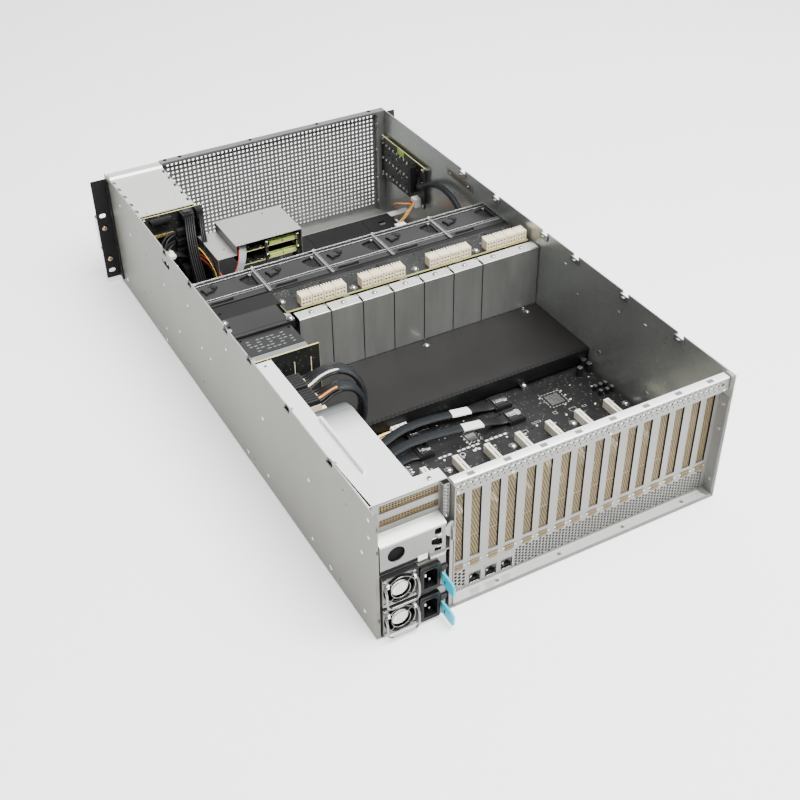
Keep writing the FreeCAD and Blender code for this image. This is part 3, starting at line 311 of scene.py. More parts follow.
# sleeve: two crossing sets of strands, laid out along and around the tube
q = Mat("sleeve")
at = q.node("ShaderNodeAttribute", attribute_type="GEOMETRY", attribute_name="lay")
sx, sy, sz = q.xyz(at.outputs["Vector"])
a = q.math("SINE", q.math("ADD", q.math("MULTIPLY", sx, 8.0), q.math("MULTIPLY", sy, 2600.0)))
b = q.math("SINE", q.math("SUBTRACT", q.math("MULTIPLY", sx, 8.0), q.math("MULTIPLY", sy, 2600.0)))
w = q.math("MULTIPLY_ADD", q.math("MULTIPLY", a, b), 0.5, 0.5)
q.set(color=q.ramp(w, [(0.25, (0.0025, 0.0025, 0.0028)), (0.62, (0.008, 0.0095, 0.011)), (0.9, (0.026, 0.035, 0.042))]), metal=0.0, rough=0.46, spec=0.3)
q.bump(w, 0.7, 0.0004)
M["sleeve"] = q.m

# printed marks on bare board: plain light lines
coat("mark_white", (0.62, 0.63, 0.62), (0.70, 0.71, 0.70), 0.5, 500, 0.02)
coat("gold_pad", (0.62, 0.45, 0.14), (0.72, 0.55, 0.20), 0.30, 500, 0.02)
M["gold_pad"].node_tree.nodes["Principled BSDF"].inputs["Metallic"].default_value = 0.9

# ---------------------------------------------------------------- mesh kit (millimetres in, metres out)


def ring(n, r, phase=0.0):
    return [(r * math.cos(phase + 2 * math.pi * k / n), r * math.sin(phase + 2 * math.pi * k / n)) for k in range(n)]


def moved(poly, u, v):
    return [(a + u, b + v) for a, b in poly]


def rect2(u0, u1, v0, v1, r=0.0, n=4):
    if r <= 0:
        return [(u0, v0), (u1, v0), (u1, v1), (u0, v1)]
    out = []
    for cu, cv, s in ((u1 - r, v0 + r, -90), (u1 - r, v1 - r, 0), (u0 + r, v1 - r, 90), (u0 + r, v0 + r, 180)):
        for k in range(n + 1):
            t = math.radians(s + 90.0 * k / n)
            out.append((cu + r * math.cos(t), cv + r * math.sin(t)))
    return out


class MB:
    """Collects closed solids, each with a material name, and makes one object of them."""

    def __init__(self):
        self.v, self.f, self.fm, self.names, self.lay = [], [], [], [], {}

    def mi(self, mat):
        if mat not in self.names:
            self.names.append(mat)
        return self.names.index(mat)

    def add(self, verts, faces, mat, xf=None):
        k = len(self.v)
        if xf is not None:
            verts = [xf @ Vector(p) for p in verts]
        self.v += [tuple(p) for p in verts]
        i = self.mi(mat)
        for f in faces:
            self.f.append([k + j for j in f])
            self.fm.append(i)
        return self

    def box(self, x0, x1, y0, y1, z0, z1, mat, xf=None):
        v = [(x, y, z) for z in (z0, z1) for x, y in ((x0, y0), (x1, y0), (x1, y1), (x0, y1))]
        f = [(3, 2, 1, 0), (4, 5, 6, 7), (0, 1, 5, 4), (1, 2, 6, 5), (2, 3, 7, 6), (3, 0, 4, 7)]
        return self.add(v, f, mat, xf)

    def prism(self, poly, axis, a0, a1, mat, xf=None):
        def P(u, v, w):
            return {"x": (w, u, v), "y": (u, w, v), "z": (u, v, w)}[axis]
        n = len(poly)
        v = [P(a, b, a0) for a, b in poly] + [P(a, b, a1) for a, b in poly]
        f = [tuple(range(n - 1, -1, -1)), tuple(range(n, 2 * n))] + [(k, (k + 1) % n, n + (k + 1) % n, n + k) for k in range(n)]
        return self.add(v, f, mat, xf)

    def cyl(self, axis, c, r, a0, a1, mat, n=16, xf=None, r2=None):
        def P(u, v, w):
            return {"x": (w, u, v), "y": (u, w, v), "z": (u, v, w)}[axis]
        lo, hi = ring(n, r), ring(n, r if r2 is None else r2)
        v = [P(a + c[0], b + c[1], a0) for a, b in lo] + [P(a + c[0], b + c[1], a1) for a, b in hi]
        f = [tuple(range(n - 1, -1, -1)), tuple(range(n, 2 * n))] + [(k, (k + 1) % n, n + (k + 1) % n, n + k) for k in range(n)]
        return self.add(v, f, mat, xf)

    def lathe(self, axis, c, profile, mat, n=20, xf=None):
        """profile: (radius, height) from one axis point to the other."""
        def P(u, v, w):
            return {"x": (w, u, v), "y": (u, w, v), "z": (u, v, w)}[axis]
        v, f, rings = [], [], []
        for rr, h in profile:
            if rr <= 1e-6:
                rings.append([len(v)])
                v.append(P(c[0], c[1], h))
            else:
                rings.append(list(range(len(v), len(v) + n)))
                v += [P(a + c[0], b + c[1], h) for a, b in ring(n, rr)]
        for A, B in zip(rings, rings[1:]):
            for k in range(n):
                if len(A) == 1 and len(B) == 1:
                    continue
                if len(A) == 1:
                    f.append((A[0], B[k], B[(k + 1) % n]))
                elif len(B) == 1:
                    f.append((A[k], A[(k + 1) % n], B[0]))
                else:
                    f.append((A[k], A[(k + 1) % n], B[(k + 1) % n], B[k]))
        return self.add(v, f, mat, xf)

    def plate(self, outline, holes, axis, a0, a1, mat, xf=None):
        """A flat sheet with any number of holes; outline and holes are point lists in the sheet's plane."""
        cu = bpy.data.curves.new("plate_tmp", "CURVE")
        cu.dimensions = "2D"
        cu.fill_mode = "BOTH"
        cu.extrude = abs(a1 - a0) / 2
        for poly in [outline] + list(holes):
            sp = cu.splines.new("POLY")
            sp.points.add(len(poly) - 1)
            for i, (a, b) in enumerate(poly):
                sp.points[i].co = (a, b, 0, 1)
            sp.use_cyclic_u = True
        ob = bpy.data.objects.new("plate_tmp", cu)
        me = bpy.data.meshes.new_from_object(ob)
        mid = (a0 + a1) / 2
        P = {"x": lambda p: (mid + p[2], p[0], p[1]), "y": lambda p: (p[0], mid + p[2], p[1]), "z": lambda p: (p[0], p[1], mid + p[2])}[axis]
        v = [P(q.co) for q in me.vertices]
        f = [tuple(q.vertices) for q in me.polygons]
        self.add(v, f, mat, xf)
        bpy.data.objects.remove(ob)
        bpy.data.curves.remove(cu)
        bpy.data.meshes.remove(me)
        return self

    def tube(self, pts, r, mat, n=10, closed=False, caps=True):
        """A round section along a list of points, without twist; stores how far along and around each corner lies."""
        P = [Vector(p) for p in pts]
        m = len(P)
        tan = []
        for i in range(m):
            if closed:
                d = P[(i + 1) % m] - P[i - 1]
            else:
                d = P[min(i + 1, m - 1)] - P[max(i - 1, 0)]
            tan.append(d.normalized())
        up = Vector((0, 0, 1)) if abs(tan[0].z) < 0.9 else Vector((1, 0, 0))
        side = tan[0].cross(up).normalized()
        k0 = len(self.v)
        s = 0.0
        for i in range(m):
            if i:
                s += (P[i] - P[i - 1]).length
                side = (side - tan[i] * side.dot(tan[i])).normalized()
            nrm = tan[i].cross(side)
            rr = r[i] if isinstance(r, (list, tuple)) else r
            for k in range(n + 1):
                t = 2 * math.pi * k / n
                self.lay[len(self.v)] = (t, s * MM, 0.0)
                self.v.append(tuple(P[i] + side * (rr * math.cos(t)) + nrm * (rr * math.sin(t))))
        idx = self.mi(mat)
        for i in range(m if closed else m - 1):
            j = (i + 1) % m
            for k in range(n):
                a, b = k0 + i * (n + 1) + k, k0 + j * (n + 1) + k
                self.f.append([a, a + 1, b + 1, b])
                self.fm.append(idx)
        if caps and not closed:
            self.f.append([k0 + k for k in range(n)][::-1])
            self.fm.append(idx)
            self.f.append([k0 + (m - 1) * (n + 1) + k for k in range(n)])
            self.fm.append(idx)
        return self

    def make(self, name, body="chassis", bevel=0.0, seg=1, replaces=(), weld=True, angle=35.0, xf=None):
        me = bpy.data.meshes.new(name)
        me.from_pydata([(x * MM, y * MM, z * MM) for x, y, z in self.v], [], self.f)
        for nm in self.names:
            me.materials.append(M[nm])
        me.polygons.foreach_set("material_index", self.fm)
        if self.lay:
            at = me.attributes.new("lay", "FLOAT_VECTOR", "POINT")
            for i, t in self.lay.items():
                at.data[i].vector = t
        bm = bmesh.new()
        bm.from_mesh(me)
        if weld and not self.lay:
            bmesh.ops.remove_doubles(bm, verts=bm.verts, dist=1e-7)
        bmesh.ops.recalc_face_normals(bm, faces=bm.faces)
        bm.to_mesh(me)
        bm.free()
        me.polygons.foreach_set("use_smooth", [True] * len(me.polygons))
        me.set_sharp_from_angle(angle=math.radians(angle))
        ob = bpy.data.objects.new(name, me)
        bpy.context.scene.collection.objects.link(ob)
        if bevel > 0:
            b = ob.modifiers.new("edge", "BEVEL")
            b.width = bevel * MM
            b.segments = seg
            b.limit_method = "ANGLE"
            b.angle_limit = math.radians(50)
            b.use_clamp_overlap = True
            b.harden_normals = True
        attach(ob, body)
        if replaces:
            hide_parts(*replaces)
        return ob


def paint(node, mat):
    """A CAD node whose shape is right keeps its mesh and gets a finish."""
    me = NODES[node].data
    if len(me.materials) == 0:
        me.materials.append(M[mat])
    for i in range(len(me.materials)):
        me.materials[i] = M[mat]


def smooth_line(pts, steps=8):
    """Points read from a smooth curve that runs through the route's control points."""
    cu = bpy.data.curves.new("line_tmp", "CURVE")
    cu.dimensions = "3D"
    cu.resolution_u = steps
    sp = cu.splines.new("NURBS")
    sp.points.add(len(pts) - 1)
    for i, p in enumerate(pts):
        sp.points[i].co = (p[0], p[1], p[2], 1)
    sp.order_u = 3
    sp.use_endpoint_u = True
    ob = bpy.data.objects.new("line_tmp", cu)
    me = bpy.data.meshes.new_from_object(ob)
    out = [tuple(v.co) for v in me.vertices]
    bpy.data.objects.remove(ob)
    bpy.data.curves.remove(cu)
    bpy.data.meshes.remove(me)
    return out


def screw(mb, x, y, z, axis="z", r=3.2, h=2.2, mat="nickel", sign=1):
    """Pan head with a cross recess, painted as a thin near-black cross of shade on the head."""
    c = {"z": (x, y), "y": (x, z), "x": (y, z)}[axis]
    base = {"z": z, "y": y, "x": x}[axis]
    prof = [(0, base), (r, base), (r, base + sign * h * 0.45), (r * 0.86, base + sign * h * 0.82), (r * 0.5, base + sign * h), (0, base + sign * h)]
    mb.lathe(axis, c, prof, mat, 18)
    t0, t1 = base + sign * h * 0.985, base + sign * (h * 1.0 + 0.03)
    a, b = min(t0, t1), max(t0, t1)
    for u, v in ((r * 0.46, r * 0.11), (r * 0.11, r * 0.46)):
        poly = [(c[0] - u, c[1] - v), (c[0] + u, c[1] - v), (c[0] + u, c[1] + v), (c[0] - u, c[1] + v)]
        mb.prism(poly, axis, a, b, "painted_shade_black")


floor_mesh = bpy.data.meshes.new("studio_floor")
floor_mesh.from_pydata([(-20, -20, -0.0005), (20, -20, -0.0005), (20, 20, -0.0005), (-20, 20, -0.0005)], [], [(0, 1, 2, 3)])
qf = Mat("floor_white")
qf.set(color=qf.ramp(qf.noise(2.0), [(0.3, (0.95, 0.95, 0.95)), (0.7, (0.97, 0.97, 0.97))]), rough=0.8, spec=0.1)
qf.p.inputs["Emission Color"].default_value = (1.0, 1.0, 1.0, 1.0)
qf.p.inputs["Emission Strength"].default_value = 0.7
floor_mesh.materials.append(qf.m)
floor = bpy.data.objects.new("studio_floor", floor_mesh)
bpy.context.scene.collection.objects.link(floor)

# ================================================================ chassis shell
for node, mat in (("chassis_floor", "galv_rear"), ("rack_ears", "ear_black"), ("front_handles", "bright"),
                  ("motherboard", "pcb_black"), ("psu_cage", "galv_rear"), ("fan_cage", "nickel"),
                  ("card_support_tray", "black_film")):
    paint(node, mat)

NOTCH = [-158.0, -71.0, 42.0, 110.0, 209.0, 309.0]


def wall_outline(low=1.2, high=172.0):
    pts = [(-400.0, low), (400.0, low), (400.0, high)]
    for y in reversed(NOTCH):
        pts += [(y + 5.0, high), (y + 5.0, high - 5.5), (y + 3.0, high - 8.0), (y - 8.5, high - 8.0), (y - 8.5, high - 4.0),
                (y - 5.0, high - 4.0), (y - 5.0, high)]
    return pts + [(-400.0, high)]


def slit(y, z, w, h, tilt=0.0):
    c, s = math.cos(math.radians(tilt)), math.sin(math.radians(tilt))
    return [(y + a * c - b * s, z + a * s + b * c) for a, b in rect2(-w / 2, w / 2, -h / 2, h / 2)]


# right wall, outside in full view
LATCH = [(-172, 149.5), (-164, 147.5), (-150, 147.5), (-146, 150), (-146, 156.5), (-156, 156.5), (-166, 154.5), (-172, 154.5)]
mb = MB()
holes = [LATCH] + [slit(y, z, w, h) for y, z, w, h in (
    (-359, 78, 4.2, 1.3), (-244, 122, 4.2, 1.3), (-368, 37, 4.2, 1.3), (-284, 39, 4.2, 1.3), (-251, 60, 4.2, 1.3), (-66.6, 26, 5, 1.6),
    (94, 15, 4.0, 1.3), (337, 155, 3.6, 1.2), (341.6, 139.4, 3.6, 1.2), (318.7, 14.7, 3.6, 1.2), (-120, 20, 4, 1.3))]
mb.plate(wall_outline(), holes, "x", 218.8, 220.0, "galv_wall_shaded")
# rear return flange with its slots
mb.plate(rect2(215.7, 218.9, 1.2, 172.0, 0), [rect2(216.5, 217.9, z, z + 5) for z in (24, 119, 150)], "y", 398.8, 400.0, "galv_wall_shaded")
# rolled top edge, in brighter nickel than the wall: the brighter tone paints the highlight along the edge
mb.box(218.72, 220.0, -399.9, -166.6, 171.6, 172.25, "nickel")
for a, b in zip([y + 5.1 for y in NOTCH], [y - 5.2 for y in NOTCH[1:]] + [399.8]):
    mb.box(218.72, 220.0, a, b, 171.6, 172.25, "nickel")
wall_r = mb.make("wall_right_skin", replaces=["side_wall_right"])
# pressed dimples and rivet ends on the same wall
mb = MB()
for y, z, r in ((-55, 85.5, 1.5), (-26, 87, 1.5), (36, 138.7, 1.6), (-367, 16.7, 2.0), (133.7, 103.8, 1.7), (133.3, 18.7, 1.6), (252.6, 103.4, 1.7),
                (251.5, 17.3, 1.6), (389.2, 157.5, 1.6), (388.7, 134.5, 1.5), (372.9, 101.7, 1.6), (374.3, 18.8, 1.6),
                (-310, 120, 1.5), (-200, 30, 1.5), (-180, 110, 1.5), (-90, 128, 1.5), (-340, 150, 1.5), (-140, 60, 1.5)):
    mb.lathe("x", (y, z), [(r * 1.5, 219.95), (r * 1.25, 220.12), (r, 220.5), (r * 0.6, 220.72), (0, 220.8)], "nickel", 14)
for y, z in ((75.0, 13.4), (296.9, 13.3), (-205, 8.5)):
    mb.lathe("x", (y, z), [(3.2, 219.95), (3.2, 220.5), (2.6, 221.0), (1.5, 221.2), (0, 221.25)], "nickel", 18)
    # dark crosses paint the shade in the rivet heads' recesses
    mb.prism(rect2(y - 1.4, y + 1.4, z - 0.3, z + 0.3), "x", 221.15, 221.32, "painted_shade_black")
    mb.prism(rect2(y - 0.3, y + 0.3, z - 1.4, z + 1.4), "x", 221.15, 221.32, "painted_shade_black")
mb.make("wall_right_rivets")
# spring latch behind the window, and hook plates in the lid notches of the right wall
mb = MB()
mb.prism([(-176, 146.5), (-142, 146.5), (-142, 158), (-176, 158)], "x", 216.2, 217.0, "galv_dark")
mb.lathe("x", (-158, 152), [(2.4, 217.0), (2.4, 218.0), (1.6, 218.6), (0, 218.6)], "nickel", 16)
for y in NOTCH:
    mb.box(216.6, 217.6, y - 9, y + 8, 160.5, 168.4, "galv_dark")
    mb.box(213.0, 217.6, y - 1.5, y + 3.5, 166.6, 167.4, "nickel")
mb.make("wall_right_latch", bevel=0.2)

# left wall, inside in view
mb = MB()
mb.plate(wall_outline(), [rect2(-172, -146, 148, 156.5, 1.5)] + [slit(y, z, 4, 1.3) for y, z in ((-330, 140), (90, 150), (250, 150), (360, 20))],
         "x", -220.0, -218.8, "galv_inner")
# rolled top edge, in brighter nickel than the wall: the brighter tone paints the highlight along the edge
for a, b in zip([-399.9] + [y + 5.1 for y in NOTCH], [y - 8.6 if i == 0 else y - 5.2 for i, y in enumerate(NOTCH)] + [399.8]):
    mb.box(-220.0, -218.72, a, b, 171.6, 172.25, "nickel")
mb.make("wall_left_skin", replaces=["side_wall_left"])
mb = MB()
for y, z, r in ((173.8, 64.3, 2.2), (267.7, 62.9, 2.2), (120, 120, 1.4), (345, 118, 1.6), (-225, 24, 1.6), (30, 150, 1.5), (200, 140, 1.4)):
    mb.lathe("x", (y, z), [(r * 1.5, -218.78), (r * 1.2, -218.5), (r, -218.1), (0, -217.9)], "nickel", 16)
mb.box(-218.8, -218.0, -200, -131, 147.5, 158.5, "galv_dark")
mb.box(-218.0, -217.5, -196, -136, 150.0, 156.0, "tan_metal")
mb.lathe("x", (-190, 153), [(2.0, -217.6), (2.0, -216.9), (0, -216.7)], "nickel", 14)
mb.lathe("x", (-142, 153), [(2.0, -217.6), (2.0, -216.9), (0, -216.7)], "nickel", 14)
for y in NOTCH:
    mb.box(-218.0, -217.0, y - 9, y + 8, 160.5, 168.4, "galv_dark")
    mb.box(-218.0, -213.4, y - 1.5, y + 3.5, 166.6, 167.4, "nickel")
mb.make("wall_left_fittings", bevel=0.2)

# front panel: lattice of round holes, folded top band, end post
mb = MB()
HX0, HZ0, PITCH = -201.4, 13.2, 6.45
cols, rows = 52, 24


def lattice(mb, x0, z0, pitch, nx, nz, r, n, y0, y1, mat, outer):
    """A perforated sheet: each cell has its own hole; a plain frame runs round the field."""
    V, F = {}, []
    verts = []

    def vid(p, y):
        key = (round(p[0], 3), round(p[1], 3), y)
        if key not in V:
            V[key] = len(verts)
            verts.append((p[0], y, p[1]))
        return V[key]
    h = pitch / 2
    for i in range(nx):
        for j in range(nz):
            cx, cz = x0 + i * pitch, z0 + j * pitch
            hole, edge = [], []
            for k in range(n):
                t = math.pi / 4 + 2 * math.pi * k / n
                hole.append((cx + r * math.cos(t), cz + r * math.sin(t)))
                c, s = math.cos(t), math.sin(t)
                q = h / max(abs(c), abs(s))
                edge.append((cx + q * c, cz + q * s))
            for k in range(n):
                a, b = k, (k + 1) % n
                for y, flip in ((y0, False), (y1, True)):
                    f = [vid(edge[a], y), vid(edge[b], y), vid(hole[b], y), vid(hole[a], y)]
                    F.append(f[::-1] if flip else f)
                F.append([vid(hole[a], y0), vid(hole[b], y0), vid(hole[b], y1), vid(hole[a], y1)])
    mb.add(verts, F, mat)
    X0, X1, Z0, Z1 = x0 - h, x0 + (nx - 1) * pitch + h, z0 - h, z0 + (nz - 1) * pitch + h
    ox0, ox1, oz0, oz1 = outer
    for a, b, c, d in ((ox0, ox1, oz0, Z0), (ox0, ox1, Z1, oz1), (ox0, X0, Z0, Z1), (X1, ox1, Z0, Z1)):
        if b - a > 0.01 and d - c > 0.01:
            mb.box(a, b, y0, y1, c, d, mat)


lattice(mb, HX0, HZ0, PITCH, cols, rows, 1.95, 8, -400.0, -398.8, "galv_mesh", (-218.8, 139.7, 1.2, 172.0))
mb.box(-218.6, 139.7, -398.8, -388.5, 171.0, 172.0, "galv_dark")
for x in (131.5, 109.0, 0.0, -108.0, -196.0):
    # dark pieces paint the shade inside the slots of the folded band
    mb.prism([(x - 2.9, -400.1), (x + 2.9, -400.1), (x + 2.2, -394.2), (x - 2.2, -394.2)], "z", 171.2, 172.07, "painted_shade_black")
    mb.box(x - 2.7, x + 2.7, -400.06, -398.7, 167.6, 172.03, "painted_shade_black")
mb.box(-218.6, 139.7, -389.5, -388.5, 168.4, 171.0, "galv_dark")
mb.box(-218.6, -207.0, -389.5, -388.3, 1.2, 171.0, "galv_mesh")
mb.box(-208.2, -207.0, -398.8, -389.5, 1.2, 171.0, "galv_mesh")
for z in (20, 60, 108, 150):
    mb.lathe("x", (-393.5, z), [(1.9, -207.0), (1.9, -206.3), (1.1, -205.8), (0, -205.8)], "nickel", 14)
mb.box(-206.9, 139.6, -398.8, -391.0, 1.25, 3.0, "galv_mesh")
mb.make("front_lattice", replaces=["front_panel"])

# brass-toned handle screws seen in the near ear, and in the far one
mb = MB()
for sx in (1, -1):
    for z in (40.0, 90.0):
        mb.lathe("y", (sx * 232.55, z), [(3.6, -398.02), (3.6, -396.9), (2.8, -396.2), (0, -395.9)], "brass_tone", 18)
        # dark crosses paint the shade in the screw heads' recesses
        mb.prism(rect2(sx * 232.55 - 1.6, sx * 232.55 + 1.6, z - 0.35, z + 0.35), "y", -396.0, -395.8, "painted_shade_black")
        mb.prism(rect2(sx * 232.55 - 0.35, sx * 232.55 + 0.35, z - 1.6, z + 1.6), "y", -396.0, -395.8, "painted_shade_black")
    for z in (20, 64, 130, 152):
        mb.lathe("x", (-392.5, z), [(1.7, sx * 222.0), (1.7, sx * 222.35), (1.0, sx * 222.6), (0, sx * 222.6)], "black_coat", 14)
mb.make("ear_screws")

# ================================================================ drive cage, trays, backplane
mb = MB()
top_holes = []
for y in (-372, -350, -326, -300, -278):
    top_holes.append(rect2(212.6, 214.6, y - 4, y + 4))
    top_holes.append(rect2(142.6, 144.8, y - 4, y + 4))
mb.prism([(-399.6, 170.6), (-386.0, 170.6), (-383.0, 168.0), (-383.0, 166.8), (-386.6, 169.4), (-399.6, 169.4)], "x", 140.0, 216.4, "galv_top_lit")
mb.box(140, 141.2, -383, -262, 2.4, 166.8, "galv_rear")
mb.box(215.2, 216.4, -383, -262, 2.4, 166.8, "galv_rear")
mb.prism([(-399.6, 2.4), (-383, 2.4), (-383, 167.0), (-386.4, 169.8), (-399.6, 169.8)], "x", 140, 141.2, "galv_rear")
mb.prism([(-399.6, 2.4), (-383, 2.4), (-383, 167.0), (-386.4, 169.8), (-399.6, 169.8)], "x", 215.2, 216.4, "galv_rear")
mb.box(140, 216.4, -399.6, -262, 1.25, 2.4, "galv_rear")
for k in range(1, 6):
    z = 3.6 + 27.2 * k - 0.7
    mb.box(141.2, 144, -399.6, -278, z - 0.5, z + 0.3, "galv_rear")
    mb.box(212.4, 215.2, -399.6, -278, z - 0.5, z + 0.3, "galv_rear")
for y in (-372, -350, -326, -300, -278):
    mb.box(140.6, 142.4, y - 3.2, y + 3.2, 166.9, 169.2, "galv_dark")
    mb.box(214.8, 216.3, y - 3.2, y + 3.2, 166.9, 169.2, "galv_dark")
mb.make("drive_cage_shell", bevel=0.15, replaces=["drive_cage"])

mb = MB()
mb.plate([(140, -383), (216.4, -383), (216.4, -262), (140, -262)], top_holes + [moved(ring(14, 1.4), 205, -268), moved(ring(14, 1.2), 152, -300)],
         "z", 166.8, 168.0, "galv_top_lit")
mb.make("drive_cage_top")

for k in range(6):
    z0 = 3.6 + 27.2 * k
    mb = MB()
    mb.box(144.6, 211.8, -398, -276, z0 + 0.6, z0 + 21, "galv_dark")
    slots_ = []
    for i in range(11):
        for j in range(3):
            slots_.append(moved(ring(6, 1.7, math.pi / 6), 180 + i * 3.1 - (1.55 if j % 2 else 0), z0 + 7.2 + j * 5.2))
    mb.plate(rect2(141.8, 214.6, z0 + 0.1, z0 + 25.5, 1.2), slots_, "y", -400.6, -398.2, "black_abs")
    # dark sheet behind the tray's vent holes paints the shade inside the tray
    mb.box(143.5, 213.0, -398.2, -397.6, z0 + 1.5, z0 + 24.0, "painted_shade_black")
    mb.prism(rect2(146, 174, z0 + 8, z0 + 18, 1.5), "y", -405.5, -400.5, "black_abs")
    mb.prism(rect2(148, 152, z0 + 10, z0 + 16, 1.0), "y", -406.3, -405.3, "mid_abs")
    mb.cyl("y", (206, z0 + 21.5), 0.9, -400.9, -400.4, "teal", 10)
    mb.cyl("y", (202, z0 + 21.5), 0.9, -400.9, -400.4, "wire_orange", 10)
    mb.make("drive_tray_%d_detail" % (k + 1), body="drive_tray_%d" % (k + 1), bevel=0.2, replaces=["drive_tray_%d" % (k + 1)])

mb = MB()
bh = [rect2(174, 208, z, z + 3.5) for z in (20, 47, 74, 101, 128)]
mb.plate(rect2(130, 216.4, 3.0, 165.0), bh, "y", -261.7, -259.7, "pcb_black")
mb.box(130, 216.4, -261.4, -260.0, 164.9, 165.35, "pcb_edge")
mb.box(129.7, 130.05, -261.4, -260.0, 3.0, 165.0, "pcb_edge")
rows_z = (160.0, 140.0, 113.0, 94.0, 72.0, 46.0)
for i, z in enumerate(rows_z):
    # drive-power plugs at the near side, signal plugs with a latch at the far side
    mb.box(146, 164, -259.7, -250.0, z - 4.5, z + 4.5, "black_abs")
    mb.box(147, 163, -250.0, -246.2, z - 3.6, z + 3.6, "grey_abs")
    mb.box(150, 160, -259.0, -249.4, z + 4.4, z + 5.6, "grey_abs")
    mb.box(133, 143, -259.7, -247.5, z - 6.5, z + 5.5, "black_abs")
    mb.box(134.2, 141.8, -247.5, -246.9, z - 5.0, z + 4.0, "grey_abs")
    for g in range(4):
        mb.box(133.2 + g * 2.5, 134.2 + g * 2.5, -259.3, -247.9, z + 5.4, z + 6.3, "grey_abs")
    mb.box(176, 206, -259.7, -251.0, z - 3.0, z + 3.0, "black_abs")
    mb.box(177, 205, -251.0, -249.6, z - 2.0, z + 2.0, "gold_pad" if i in (1, 4) else "grey_abs")
    mb.box(176, 206, -259.6, -258.8, z - 4.6, z - 3.6, "gold_pad")
for i in range(26):
    x, z = 132 + random.random() * 80, 8 + random.random() * 150
    w, h = random.choice(((1.6, 0.8), (0.8, 1.6), (2.4, 1.4)))
    mb.box(x, x + w, -259.7, -259.0, z, z + h, random.choice(("ivory", "grey_abs", "nickel", "gold_pad")))
for x, z in ((133.5, 160.5), (212, 161), (133.5, 8), (212, 8)):
    mb.lathe("y", (x, z), [(2.6, -259.8), (2.6, -258.8), (1.8, -258.2), (0, -258.2)], "nickel", 16)
mb.make("backplane_detail", bevel=0.2, replaces=["drive_backplane"])

# flat cables leaving the backplane plugs, drooping towards the fans
mb = MB()
for i, z in enumerate(rows_z[:5]):
    for x0, spread in ((155.0, 7.0), (138.0, 3.6)):
        pts = smooth_line([(x0, -247, z), (x0 + 1.0, -240, z + 0.5), (x0 + 5, -229, z - 3), (x0 + 10, -214, z - 16), (x0 + 13, -196, max(24, z - 46)),
                           (x0 + 12, -176, max(18, z - 80))], 5)
        n = 5 if spread > 5 else 3
        for j in range(n):
            off = (j - (n - 1) / 2) * spread * 2 / n
            mb.tube([(p[0] + off, p[1], p[2] - 0.12 * off) for p in pts], 1.25, "wire_black", 7)
mb.make("backplane_cables", angle=60)
mb = MB()
# white mating plug that stands out of the bundle
mb.box(190, 209, -232, -214, 121.5, 126.0, "white_abs")
mb.box(188, 190, -230.5, -215.5, 122.2, 125.4, "ivory")
for j in range(5):
    mb.tube(smooth_line([(188, -229 + 3.1 * j, 123.5), (180, -229 + 3 * j, 122.0), (168, -228 + 2 * j, 112), (160, -226, 92), (158, -224, 72)], 5), 0.9, "wire_black", 7)
# folded grey-brown latch piece behind the wall window
mb.prism([(-171, 118), (-150, 118), (-146, 134), (-158, 146), (-171, 140)], "x", 205.0, 206.0, "galv_dark")
for i, z in enumerate((146.0, 133.0, 120.0, 107.0, 94.0)):
    mb.prism([(150.0 + 2 * i, z - 4.5), (176 + 2 * i, z - 5.5), (176 + 2 * i, z + 2.5), (150 + 2 * i, z + 3.5)], "y", -243 + 2.5 * i, -236 + 2.5 * i, "black_abs")
    mb.box(153 + 2 * i, 160 + 2 * i, -241 + 2.5 * i, -234.6 + 2.5 * i, z + 3.2, z + 4.6, "grey_abs")
    mb.tube(smooth_line([(178 + 2 * i, -239, z), (188, -236, z + 1), (198, -231, z - 3), (206, -226, z - 14), (209, -222, z - 34)], 5), 1.5, "wire_black", 8)
    mb.tube(smooth_line([(178 + 2 * i, -239, z - 2.6), (188, -234, z - 3), (196, -229, z - 8), (203, -224, z - 20), (206, -220, z - 40)], 5), 1.1, "grey_abs", 8)
mb.make("side_plug", bevel=0.2)

# ================================================================ riser hood
mb = MB()
mb.plate(rect2(31, 125, -232, -158), [moved(ring(14, 1.5), 60, -222), moved(ring(12, 1.0), 66, -163)], "z", 148.8, 150.0, "galv_hood")
mb.box(123.8, 125.0, -232, -158, 137.0, 148.9, "galv_rear")
mb.plate(rect2(125.0, 151.5, -229, -158), [moved(ring(12, 1.4), 134, -180)], "z", 135.8, 137.0, "galv_hood")
mb.box(123.8, 125.1, -229, -158, 135.8, 137.1, "galv_rear")
mb.box(150.4, 151.5, -229, -158, 62, 135.9, "galv_rear")
mb.box(31, 32.2, -232, -158, 100, 148.9, "galv_rear")
mb.box(32.2, 123.8, -232, -230.8, 100, 148.9, "galv_rear")
mb.box(31.0, 36.5, -232, -158, 98.8, 100.0, "galv_rear")
mb.prism([(31, 60), (36.5, 60), (36.5, 98.8), (31, 98.8)], "y", -232, -230.8, "galv_rear")
